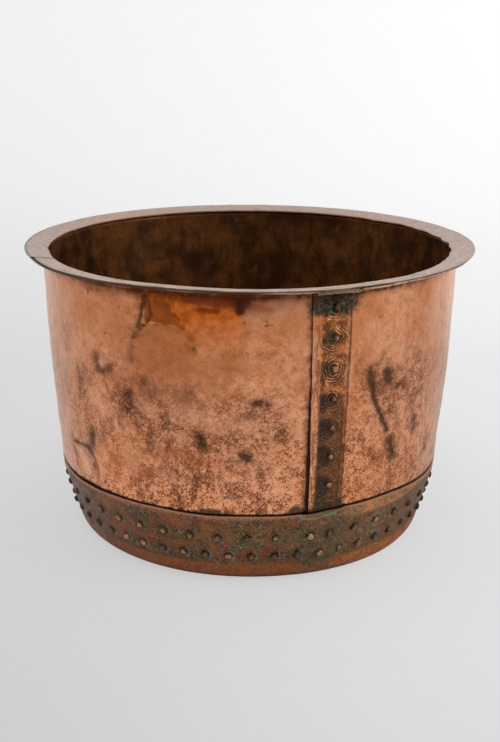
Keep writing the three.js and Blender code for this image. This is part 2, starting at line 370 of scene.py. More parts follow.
# %% Wall lap and joggle
lap_width, joggle_width, end_clear = 46 * mm, 7 * mm, 3 * mm
seam_edge = 15.5
seam_crease = seam_edge + math.degrees(lap_width / wall_top_radius)
joggle_run = math.degrees(joggle_width / wall_top_radius)
inner_end = seam_crease - math.degrees(end_clear / wall_top_radius)
front_reach = 64


def column_spacing(degrees):
    """Columns stand close in the lap, fairly close on the front that marks are drawn on, and wider
    behind. In degrees."""
    at = wrapped(degrees)
    step = np.where(np.abs(at) < front_reach, 2.9, 6.4)
    step = np.where(degrees < seam_crease + 2 * joggle_run, 1.05, step)
    step = np.where(degrees > 360 + seam_edge - 2.2, 1.2, step)
    step = np.where(degrees > 360 + seam_edge + 0.5, 6.0, step)
    return np.degrees(step * mm / wall_scale)


wall_degrees = gathered(seam_edge, 360 + inner_end, column_spacing)


def wall_lift(degrees):
    """How far the sheet lies outside its plain place: a sheet's thickness up to the crease, then down in
    an S over the joggle. A slight ridge stands on the crease, where the sheet was bent over an edge."""
    step = 1 - smooth(degrees, seam_crease, seam_crease + joggle_run)
    ridge = 0.3 * mm * hump(degrees - seam_crease, joggle_run / 4)
    return lap_lift * step + ridge


print("the wall has", len(wall_degrees), "columns")

# %% [markdown]
# The wall has been knocked and planished. Each dent is a stroke that is pressed in, one of them deep and
# pointed at the lower left. Round each rivet the sheet is dished by the hammer, with a low ring where the
# blows ended.

# %% Dents of the wall
share_limit = 3.0  # how many radii from a rivet its rings are counted
# half width and depth in mm, path of (degrees from the front, mm above the floor)
wall_dents = [
    (24, 2.6, [(-53, 136), (-52, 124)]), (9, 1.6, [(-40.5, 284), (-40.5, 283)]),
    (13, 1.2, [(-32.4, 252), (-31.7, 232)]), (10, 1.2, [(-12.1, 204)]), (9, 1.3, [(-1, 185)]),
    (11, 0.9, [(3, 255)]), (6, 1.3, [(31.5, 287), (32.6, 262), (34.7, 234), (39, 196)]),
    (8, 1.2, [(37, 278), (38.2, 266), (42.7, 254)]), (9, 1.4, [(40.4, 183), (42, 161)]),
    (14, 1.1, [(-51.3, 260), (-49.9, 238)]), (12, 0.9, [(50.5, 193)]), (16, 1, [(59.8, 148)]),
    (16, 1, [(-60, 262), (-61, 236)]), (9, -0.9, [(-43, 176), (-42.4, 148)]),
    (10, 0.9, [(-26.1, 200), (-26.1, 182)]), (9, 0.8, [(-21, 230)]), (12, 0.8, [(-26.6, 268), (-24.2, 259)]),
    (10, 0.8, [(-38.5, 207)]), (8, 0.8, [(7, 211)]),
]


def rivet_rings(degrees, height, places, dish, ring, radius, seed, aside=0.0):
    """Round each rivet the sheet is dished in by the hammer, and a low ring stands where the blows ended.
    The ring's radius wanders with the direction from the rivet, so no two are alike. It gives the shape
    and how far each point lies from the nearest ring's middle, as a share of that ring's radius."""
    found, side = np.zeros(np.shape(degrees)), np.zeros(np.shape(degrees))
    nearest = np.full(np.shape(degrees), 9.0)
    rng = np.random.default_rng(seed)
    for centre, level in places:
        x = np.radians(wrapped(degrees - centre)) * wall_scale - aside
        y = height - level
        around = np.arctan2(y, x)
        phase = rng.uniform(0, 2 * np.pi, 3)
        uneven = sum(np.sin((k + 2) * around + phase[k]) / (k + 2) for k in range(3))
        share = np.hypot(x, y) / (radius * (1 + 0.10 * uneven))
        shape = ring * hump(share - 1, 0.16) + 0.6 * ring * hump(share - 0.62, 0.12) - dish * hump(share, 0.72)
        closer = share < nearest
        found, side = np.where(closer, shape, found), np.where(closer, x / radius, side)
        nearest = np.minimum(nearest, share)
    return found, nearest, side


def base_wander(degrees, height):
    """The slow unevenness that the base pan and the foot of the wall inside it share."""
    turn = degrees / 360
    slow = wander(turn, height, 11, 36, 40 * mm) * 0.45 * mm + wander(turn, height, 12, 84, 18 * mm) * 0.22 * mm
    return slow * smooth(height, 15 * mm, 35 * mm)


def wall_wander(degrees, height):
    """The wall's own unevenness: slow waves, hand-wide waves and hammer marks, less of each near the rim
    and none inside the pan, and the dents at their places."""
    turn = degrees / 360
    slow = wander(turn, height, 1, 14, 120 * mm) * 0.9 * mm + wander(turn, height, 2, 34, 55 * mm) * 0.55 * mm
    quick = wander(turn, height, 3, 80, 23 * mm) * 0.42 * mm + wander(turn, height, 4, 170, 11 * mm) * 0.17 * mm
    shown = smooth(height, pan_lip_height - 4 * mm, pan_lip_height + 30 * mm)
    shown = shown * (1 - 0.6 * smooth(height, 355 * mm, bend_height))
    dents = strokes(degrees, height, wall_dents, "soft") * mm
    return (slow + quick) * shown - dents


print(len(wall_dents), "dents in the wall")

# %% [markdown]
# Now the sheet itself. Its plain section is carried round, and each point is moved outwards by the lap,
# the unevenness, the rings round the rivets and the dents together. The rim sags a little between the
# places where it was held, and its flange is drawn in by a few millimetres over the front.

# %% The wall sheet
flat_rows = len(wall_section)
inner_rows = np.unique(np.append(np.arange(0, flat_rows, 5), np.arange(flat_rows - 16, flat_rows)))
A, row = np.meshgrid(wall_degrees, np.arange(flat_rows), indexing="ij")
Z = wall_section[row, 1]
full_climb = 390 * mm

# the free edge isn't cut true: it drifts towards the foot and is nibbled here and there
edge_drift = -0.55 + 0.85 * (1 - smooth(Z, 100 * mm, full_climb)) + 0.10 * ripple(Z / full_climb, 21, 40)
edge_nibble = 0.22 * hump(Z - 268 * mm, 5 * mm) + 0.15 * hump(Z - 176 * mm, 7 * mm)
A = A + (edge_drift + edge_nibble) * (1 - smooth(A, seam_edge, seam_edge + 6))
crease_drift = 0.35 - 0.7 * smooth(Z, pan_lip_height, full_climb)
joggle_end = seam_crease + joggle_run
A = A + crease_drift * within(A, seam_edge + 5, seam_crease, joggle_end, joggle_end + 5 * joggle_run)

seam_ring_radius = 16.5 * mm
seam_shape, seam_share, seam_side = rivet_rings(
    A, Z, seam_places, dish=0.9 * mm, ring=0.45 * mm, radius=seam_ring_radius, seed=31, aside=-2.4 * mm)
on_strip = within(A, seam_edge + 1.2, seam_edge + 2.6, seam_crease - 1.2, seam_crease - 0.2)
seam_shape = seam_shape * np.maximum(on_strip, (A > 360) * 1.0)
crinkle = wander(A / 360, Z, 41, 300, 7 * mm) * 0.22 * mm * on_strip
crinkle = crinkle * (1 - hump(seam_share * seam_ring_radius, 8 * mm))

upright = 1 - smooth(Z, 374 * mm, bend_height + 4 * mm)
moved = base_wander(A, Z) * (1 - smooth(Z, contact_end, pan_lip_height))
moved = moved + wall_wander(A, Z) * upright * (1 - 0.7 * (A < 180) * on_strip)
flange_share = smooth(Z, 372 * mm, 392 * mm)


def rim_sag(degrees):
    """The rim's slow rise and fall, never above its full height: three random lines pushed below zero,
    and next to nothing left of the front, where the rim stands straight."""
    waves = sum(-deep * mm * (1 + ripple(np.asarray(degrees) / 360, seed, cells))
                for deep, seed, cells in ((0.45, 51, 9), (0.2, 52, 40), (0.14, 53, 120)))
    return (1 - 0.85 * hump(wrapped(degrees) + 19, 15)) * waves


A = A + 0.9 * flange_share * smooth(A, 360 + inner_end - 2, 360 + inner_end)
A_wall, Z_wall = A, Z
R_plain, front, out = wall_section[row, 0], wrapped(A), wall_outward[row]
flange_drop = 0.5 * mm * hump(front - 30, 7)
flange_drop = flange_drop + 0.5 * mm * (1 + ripple(A / 360, 54, 72)) * smooth(R_plain, 290 * mm, flange_radius)
drawn_in = 3.2 * smooth(front, -44, -30) - 1.2 * smooth(front, -6, 6) - 2 * smooth(front, 52, 66)
drawn_in = drawn_in * mm * smooth(R_plain, 292 * mm, flange_radius)
shift = wall_lift(A) * (A < 180) + moved + (seam_shape + crinkle) * upright
R_wall = R_plain + out[..., 0] * shift
H = Z + out[..., 1] * shift + (rim_sag(A) - flange_drop) * flange_share

loop_R, loop_H = thickened(R_wall - drawn_in, H, out, inner_rows, wall_thickness)
wall_points = round_points(loop_R, loop_H, both_faces(A, A[:, inner_rows]))
wall_faces = grid_faces(*loop_R.shape, False, True)
wall = make_piece("wall_sheet_hammered", wall_points, wall_faces, end_caps(*loop_R.shape))
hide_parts("wall_sheet")

# %% [markdown]
# The base pan is raised from one disc: a flat floor, a round corner and a leaning flange that laps over
# the wall's foot. Where the wall has its seam the flange is dressed out over the extra sheet. Its edge
# was trimmed by hand after it was riveted on, lower at the sides than in front.

# %% Base pan
pan_corner = 18 * mm
corner_turn = math.pi / 2 - pan_lean
corner_end = pan_corner * (1 - math.cos(corner_turn))
pan_floor_radius = pan_face(corner_end) - pan_corner * math.sin(corner_turn)
corner_angles = np.linspace(-math.pi / 2, -math.pi / 2 + corner_turn, 10)
pan_heights = np.linspace(corner_end, pan_lip_height, 44)
pan_floor_radii = np.array([30, 90, 150, 195, 220]) * mm
pan_section = stacked(
    (np.append(pan_floor_radii, pan_floor_radius), np.zeros(len(pan_floor_radii) + 1)),
    (pan_floor_radius + pan_corner * np.cos(corner_angles), pan_corner + pan_corner * np.sin(corner_angles)),
    (pan_face(pan_heights), pan_heights),
)
pan_outward = outward_of(pan_section)
pan_outward[: len(pan_floor_radii)] = (0, -1)
pan_clear = math.degrees(2 * mm / wall_top_radius)
pan_step_end = seam_edge - pan_clear
pan_step_start = pan_step_end - math.degrees(6 * mm / wall_top_radius)
pan_return_start = seam_crease + pan_clear
pan_return_end = pan_return_start + joggle_run


def pan_spacing(degrees):
    """Columns of the pan, closer at the front and at the seam, in degrees."""
    step = np.where(np.abs(wrapped(degrees)) < front_reach, 2.3, 5.0)
    step = np.where(np.abs(wrapped(degrees) - 20) < 8, 1.6, step)
    return np.degrees(step * mm / wall_scale)


def pan_rise(degrees):
    """1 where the pan's flange is dressed out over the wall's lap, 0 elsewhere."""
    return within(wrapped(degrees), pan_step_start, pan_step_end, pan_return_start, pan_return_end)


def fan(middle, rim, turned=False):
    """Triangles from one point to each pair of neighbours on a closed line of points. Turned, they face
    the other way."""
    following = np.roll(rim, -1)
    return np.column_stack([np.full(len(rim), middle), *((rim, following) if turned else (following, rim))])


pan_degrees = gathered(-180, 180, pan_spacing)[:-1]
A, row = np.meshgrid(pan_degrees, np.arange(len(pan_section)), indexing="ij")
Z = pan_section[row, 1]
A_pan, Z_pan = A, Z
lower_places = np.column_stack([
    lower_start + 360 * np.arange(lower_count) / lower_count, np.full(lower_count, lower_row_height)])
upper_rings, upper_share, upper_side = rivet_rings(
    A, Z, upper_places, dish=0.4 * mm, ring=0.3 * mm, radius=9.5 * mm, seed=61)
lower_rings, lower_share, lower_side = rivet_rings(
    A, Z, lower_places, dish=0.4 * mm, ring=0.3 * mm, radius=8.5 * mm, seed=62)
nearer = upper_share < lower_share
pan_ring_share = np.minimum(upper_share, lower_share)
pan_ring_side = np.where(nearer, upper_side, lower_side)

out = pan_outward[row]
shift = lap_lift * pan_rise(A) * smooth(Z, 1 * mm, corner_end) + np.where(nearer, upper_rings, lower_rings)
shift = shift + base_wander(A, Z) * (1 - 0.7 * hump(pan_ring_share, 0.9))
fuller = 1 + 0.014 * hump(wrapped(A) - 42, 24) * (1 - smooth(Z, 10 * mm, 36 * mm))
tucked = 1.7 * mm * smooth(Z, 90 * mm, pan_lip_height)
trimmed = lip_dip(A) * smooth(Z, 78 * mm, pan_lip_height)
lip_wave = 0.35 * mm * (ripple(A / 360, 71, 26) - 1) * smooth(Z, 80 * mm, pan_lip_height)
R = pan_section[row, 0] * fuller + out[..., 0] * shift - tucked - trimmed * math.tan(pan_lean)
H = np.where(Z <= 0, 0, np.maximum(Z + out[..., 1] * shift, 0) + lip_wave - trimmed)

pan_inner_rows = np.unique(np.append(np.arange(0, len(pan_section), 2), len(pan_section) - 1))
loop_R, loop_H = thickened(R, H, out, pan_inner_rows, pan_thickness)
columns, rows = loop_R.shape
pan_points = round_points(loop_R, loop_H, A[:, :1]).reshape(-1, 3)
pan_points = np.concatenate([pan_points, [(0, 0, 0), (0, 0, pan_thickness)]])
first_in_column = np.arange(columns) * rows
last_in_column = first_in_column + rows - 1
pan_fans = [fan(columns * rows, first_in_column), fan(columns * rows + 1, last_in_column, turned=True)]
pan = make_piece("base_pan_hammered", pan_points, grid_faces(columns, rows, True, False), pan_fans)
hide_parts("base_pan")

# %% [markdown]
# The rim ring is a flat strip laid on the flange. Its inner edge was cut by hand with snips, so it waves.
# The strip's two ends meet in one butt joint at the left, and the near end was cut a little narrower.

# %% Rim ring
ring_inner = wall_top_radius - 7.8 * mm
joint_at = -66
joint_half = math.degrees(0.4 * mm / rim_radius)
narrow_run = math.degrees(125 * mm / rim_radius)
ring_narrowing = 4.5 * mm
round_off = 0.5 * mm


def ring_spacing(degrees):
    """Columns of the ring, in degrees."""
    return np.degrees(np.where(np.abs(wrapped(degrees)) < 100, 2.6, 4.0) * mm / rim_radius)


def round_ring(amount, seed, cells):
    """A random wave of so many mm round the ring."""
    return amount * mm * ripple(ring_degrees / 360, seed, cells)


ring_degrees = gathered(joint_at + joint_half, joint_at + 360 - joint_half, ring_spacing)
ring_front = wrapped(ring_degrees)
hand_cut = 0.6 + 1.0 * within(ring_front, 35, 50, 138, 158)
cut_wave = round_ring(1.0, 81, 72) + round_ring(0.8, 82, 30) + round_ring(0.5, 85, 150)
inner_edge = ring_inner + hand_cut * cut_wave + 2.4 * mm * hump(ring_front + 80.6, 0.5)
outer_edge = rim_radius - ring_narrowing * (1 - smooth(ring_degrees, joint_at, joint_at + narrow_run))
front_inset = 2.9 * mm + round_ring(0.7, 86, 90) + 1.4 * mm * hump(ring_front + 19, 15)
front_inset = front_inset * within(ring_front, -62, -40, 48, 66)
outer_edge = np.minimum(outer_edge, rim_radius - front_inset) - 0.25 * mm + round_ring(0.25, 83, 70)

across_shares = np.array([0, 0.06, 0.2, 0.35, 0.5, 0.65, 0.8, 0.94, 1.0])
edge_drop = round_off * np.isin(across_shares, (0, 1))
ring_radius = inner_edge[:, None] + (outer_edge - inner_edge)[:, None] * across_shares
ring_top = rim_top - (rim_radius - ring_radius) * math.tan(rim_slope)
ring_turn = np.repeat(ring_degrees[:, None], len(across_shares), axis=1) / 360
ring_buckle = 0.25 * mm * wander(ring_turn, ring_radius, 84, 44, 12 * mm)
raised = rim_sag(ring_degrees)[:, None] + 0.35 * mm * hump(ring_front - 30, 9)[:, None]
top_H = np.minimum(ring_top + raised - edge_drop - np.abs(ring_buckle), rim_top)
low_H = ring_top - ring_thickness + raised

loop_R = np.concatenate([ring_radius[:, ::-1], ring_radius[:, ::2]], axis=1)
loop_H = np.concatenate([top_H[:, ::-1], low_H[:, ::2]], axis=1)
ring_points = round_points(loop_R, loop_H, ring_degrees[:, None])
ring_faces = grid_faces(*loop_R.shape, False, True)
ring = make_piece("rim_ring_cut", ring_points, ring_faces, end_caps(*loop_R.shape), sharp=50)
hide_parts("rim_ring")

# %% [markdown]
# A rivet is a turned shape: a clenched tail inside, a shank through the sheets and a domed head outside.
# One outline serves them all, and each copy is changed a little, as no hammered head is like the next.

# %% Rivets
head_sides = 20


def rivet_outline(radius, height, grip):
    """(radius, height) of a rivet's outline from the tail's edge to the head's, the outer face of the
    sheets at zero, with the height of the tail's end. The head is a quarter of a squashed circle."""
    tail, shank, under = 4.4 * mm, 2.6 * mm, -1.5 * mm
    seat = -grip - seat_gap
    dome = np.linspace(0, math.pi / 2, 6)[:-1]
    clenched = [(tail * 0.55, seat - 1.6 * mm), (tail * 0.9, seat - 1.1 * mm), (tail, seat)]
    stem = [(shank, seat), (shank, under), (radius * 0.97, under)]
    head = np.column_stack([radius * np.cos(dome) ** 0.85, height * np.sin(dome) ** 0.9])
    return np.concatenate([clenched, stem, head]), seat - 1.7 * mm


def rivet_row(name, places, bases, outward, radius, height, grips, seed):
    """All the rivets of a row as one piece. Each is the same outline turned round its own axis, with its
    width, height and tilt changed at random and its edge beaten out of round."""
    rng = np.random.default_rng(seed)
    out_r, out_z = outward
    theta = np.linspace(0, 2 * math.pi, head_sides, endpoint=False)
    points, faces, fans, crowns, worn = [], [], [], [], []
    for (degrees, level), base, grip in zip(places, bases, grips):
        outline, tail_end = rivet_outline(radius, height, grip)
        a = math.radians(degrees)
        around = np.array([math.cos(a), math.sin(a), 0])
        out = np.array([out_r * math.sin(a), -out_r * math.cos(a), out_z])
        up = np.cross(around, out)
        grow, tall = rng.uniform(0.84, 1.0), rng.uniform(0.7, 1.0)
        phase = rng.uniform(0, 2 * math.pi, 3)
        beaten = 1 + 0.05 * np.cos(2 * theta + phase[0]) + 0.035 * np.cos(3 * theta + phase[1])
        beaten = beaten + 0.02 * np.cos(5 * theta + phase[2])
        lean = rng.uniform(-0.16, 0.16, 2)
        r, level_on = outline[:, :1] * grow * beaten, outline[:, 1:]
        x, y = r * np.cos(theta), r * np.sin(theta)
        dent = rng.uniform(0, 2 * math.pi, 2)
        bumps = 0.22 * mm * (np.cos(x * 900 + dent[0]) * np.cos(y * 900 + dent[1]) - 1)
        h = np.where(level_on > 0, level_on * tall, level_on)
        h = h + np.where(level_on > 0.5 * mm, lean[0] * x + lean[1] * y + bumps, 0)
        body = base + x[..., None] * around + y[..., None] * up + h[..., None] * out
        start, rows = sum(map(len, points)), len(outline)
        ends = [base + tail_end * out, base + height * tall * out]
        points.append(np.concatenate([body.transpose(1, 0, 2).reshape(-1, 3), ends]))
        crowns.append(np.append(np.tile(outline[:, 1] / height, head_sides), [0, 1]))
        # each head's share of wear and painted crown highlight: less on heads seen side on, and on rivets high
        # under the rim
        side_on = (1 - 0.8 * float(smooth(abs(wrapped(degrees)), 40, 58))) * (1 - 0.7 * (level > 360 * mm))
        worn.append(np.full(rows * head_sides + 2, rng.uniform(0.25, 1.0) * side_on))
        faces.append(grid_faces(head_sides, rows, True, False) + start)
        tail, first_in_side = start + head_sides * rows, start + np.arange(head_sides) * rows
        fans += [fan(tail, first_in_side), fan(tail + 1, first_in_side + rows - 1, turned=True)]
    piece = make_piece(name, np.concatenate(points), np.concatenate(faces), fans, sharp=60)
    note(piece, "crown", np.clip(np.concatenate(crowns), 0, 1))
    note(piece, "worn", np.concatenate(worn))
    return piece


def face_places(places, radius_at, outward, lift):
    """Where a row's rivets stand: the point of the sheet's outer face at each angle and height."""
    degrees, level = places.T
    return round_points(radius_at(level) + outward[0] * lift, level + outward[1] * lift, degrees)


seam_rows = np.column_stack([seam_places[:, 0], np.linspace(140 * mm, 371 * mm, len(seam_names))])
seam_base = face_places(seam_rows, belly_radius, (1, 0), lap_lift)
seam_grips = np.full(len(seam_rows), lap_lift + wall_thickness)
seam_rivets = rivet_row("seam_rivets", seam_rows, seam_base, (1, 0), 4.6 * mm, 2.9 * mm, seam_grips, 91)
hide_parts(*seam_names)

pan_out = (math.cos(pan_lean), -math.sin(pan_lean))
base_grip = pan_thickness + seat_gap + wall_thickness


def base_row(name, places, seed):
    """A row of rivets through the pan and the wall, lifted where the pan is dressed out over the lap."""
    lift = lap_lift * pan_rise(places[:, 0])
    base = face_places(places, pan_face, pan_out, lift)
    return rivet_row(name, places, base, pan_out, 5.5 * mm, 4.5 * mm, base_grip + lift, seed)


upper_rows = np.column_stack([upper_places[:, 0], np.full(len(upper_places), upper_row_height)])
upper_rivets = base_row("upper_base_rivets", upper_rows, 92)
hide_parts(*upper_names)
lower_rivets = base_row("lower_base_rivets", lower_places, 93)

# %% [markdown]
# Each finish is written as sums on sockets. A shade is one output of a node. Adding or multiplying shades
# adds the Math nodes, so that a finish reads like a formula and not like a wiring list. A finish is then
# a stack of coats: each lays one colour over those below it, by a share that is a formula too.

# %% Shades and nodes
def rgb(red, green, blue):
    """A colour as a socket takes it."""
    return (red, green, blue, 1.0)


def add_node(tree, kind, settings, values, output=0):
    """Add a node: its settings first, then its sockets' values or links."""
    node = tree.nodes.new(kind)
    for name, setting in settings.items():
        setattr(node, name, setting)
    for name, value in values.items():
        if isinstance(value, Shade):
            tree.links.new(value.socket, node.inputs[name])
        else:
            node.inputs[name].default_value = value
    return Shade(node.outputs[output])


class Shade:
    """One output socket of a material's tree, with the sums that a finish needs."""

    def __init__(self, socket):
        self.socket = socket
        self.tree = socket.id_data

    def node(self, kind, settings, values, output=0):
        return add_node(self.tree, kind, settings, values, output)

    def sum_of(self, operation, first, second):
        return self.node("ShaderNodeMath", {"operation": operation}, {0: first, 1: second})

    def __add__(self, other):
        return self.sum_of("ADD", self, other)

    def __sub__(self, other):
        return self.sum_of("SUBTRACT", self, other)

    def __rsub__(self, other):
        return self.sum_of("SUBTRACT", other, self)

    def __mul__(self, other):
        return self.sum_of("MULTIPLY", self, other)

    def __truediv__(self, other):
        return self.sum_of("DIVIDE", self, other)

    __radd__ = __add__
    __rmul__ = __mul__

    def most(self, other):
        """The greater of the two."""
        return self.sum_of("MAXIMUM", self, other)

    def sine(self, pace):
        """A wave of so many radians to a unit."""
        return self.node("ShaderNodeMath", {"operation": "SINE"}, {0: self * pace})

    def from_to(self, low, high, start=0.0, end=1.0):
        """start below low, end above high, an S between them."""
        return self.node("ShaderNodeMapRange", {"interpolation_type": "SMOOTHSTEP"}, {
            "Value": self, "From Min": low, "From Max": high, "To Min": start, "To Max": end})

    def below(self, low, high):
        """1 below low, 0 above high."""
        return self.from_to(low, high, 1.0, 0.0)

    def thread(self, half, core=0.0):
        """A thin line where a pattern crosses its middle value: full within core of it, gone at half."""
        return self.from_to(0.5 - half, 0.5 - core) * self.below(0.5 + core, 0.5 + half)


class Finish:
    """A material being written. It knows the piece's own coordinates, the numbers noted on its points,
    the patterns that copper needs, and the tone that its coats have built up so far."""

    def __init__(self, name):
        self.material = bpy.data.materials.new(name)
        self.material.use_nodes = True
        self.tree = self.material.node_tree
        self.tree.nodes.clear()
        self.place = self.node("ShaderNodeTexCoord", {}, {}, "Object")

    def node(self, kind, settings, values, output=0):
        return add_node(self.tree, kind, settings, values, output)

    def noted(self, name):
        """The number noted on the piece's points under this name."""
        return self.node("ShaderNodeAttribute", {"attribute_name": name}, {}, "Fac")

    def axis(self, name):
        """One of the piece's own coordinates."""
        return self.node("ShaderNodeSeparateXYZ", {}, {"Vector": self.place}, name)

    def joined(self, x, y):
        """A place made of two shades, for patterns drawn on a strip."""
        return self.node("ShaderNodeCombineXYZ", {}, {"X": x, "Y": y})

    def stretched(self, x, y, z):
        """The piece's coordinates with each axis scaled, for patterns drawn out one way."""
        return self.node("ShaderNodeMapping", {}, {"Vector": self.place, "Scale": (x, y, z)})

    def cloud(self, size, detail=3.0, rough=0.55, where=None, bend=0.0):
        """Noise between 0 and 1 whose blots are about size metres wide."""
        return self.node("ShaderNodeTexNoise", {}, {
            "Vector": where or self.place, "Scale": 1 / size, "Detail": detail, "Roughness": rough,
            "Distortion": bend})

    def blend(self, share, first, second):
        """Two colours or tones mixed, by how much of the second."""
        first, second = (tone if isinstance(tone, Shade) else rgb(*tone) for tone in (first, second))
        return self.node("ShaderNodeMix", {"data_type": "RGBA"}, {0: share, 6: first, 7: second}, 2)

    def coat(self, share, colour):
        """Lay one more colour over what is there."""
        self.tone = self.blend(share, self.tone, colour)

    def mark(self, name, torn, low, high, share, colour):
        """Coat a noted mark, its outline torn by noise before it is cut off, and give its shape back."""
        shape = (self.noted(name) + torn).from_to(low, high)
        self.coat(shape * share, colour)
        return shape

    def relief(self, height, depth, below=None):
        """A bump of so many metres for a height of 1."""
        values = {"Strength": 1.0, "Distance": depth, "Height": height}
        if below:
            values["Normal"] = below
        return self.node("ShaderNodeBump", {}, values)

    def surfaced(self, surface):
        """Close the tree with its surface."""
        out = self.tree.nodes.new("ShaderNodeOutputMaterial")
        self.tree.links.new(surface.socket, out.inputs["Surface"])
        return self.material

    def metal(self, rough, relief, metallic=1.0, grazing=(1, 1, 1)):
        """The surface itself. Grazing is the tint that the metal turns to where it is seen edge on."""
        return self.surfaced(self.node("ShaderNodeBsdfPrincipled", {}, {
            "Base Color": self.tone, "Roughness": rough, "Metallic": metallic, "Normal": relief,
            "Specular Tint": rgb(*grazing)}))


def wear(piece, slots, *materials):
    """Give a piece its finish, or several finishes and for each face the number of the one it wears."""
    for material in materials:
        piece.data.materials.append(material)
    if slots is not None:
        piece.data.polygons.foreach_set("material_index", np.asarray(slots, np.int32))


print("a finish knows:", ", ".join(name for name in vars(Finish) if not name.startswith("_")))

# %% [markdown]
# The wall was polished, and then aged. A mark at a known place is drawn as strokes: the half width in mm,
# the strength, and a path of angles from the front and heights in mm. Runs of old solder and scrapes have
# an edge, smudges and tints fade out, and the tongue of brown under the rim is a full patch. Orange, red
# and purple are the colours that copper takes on where a flame has touched it.

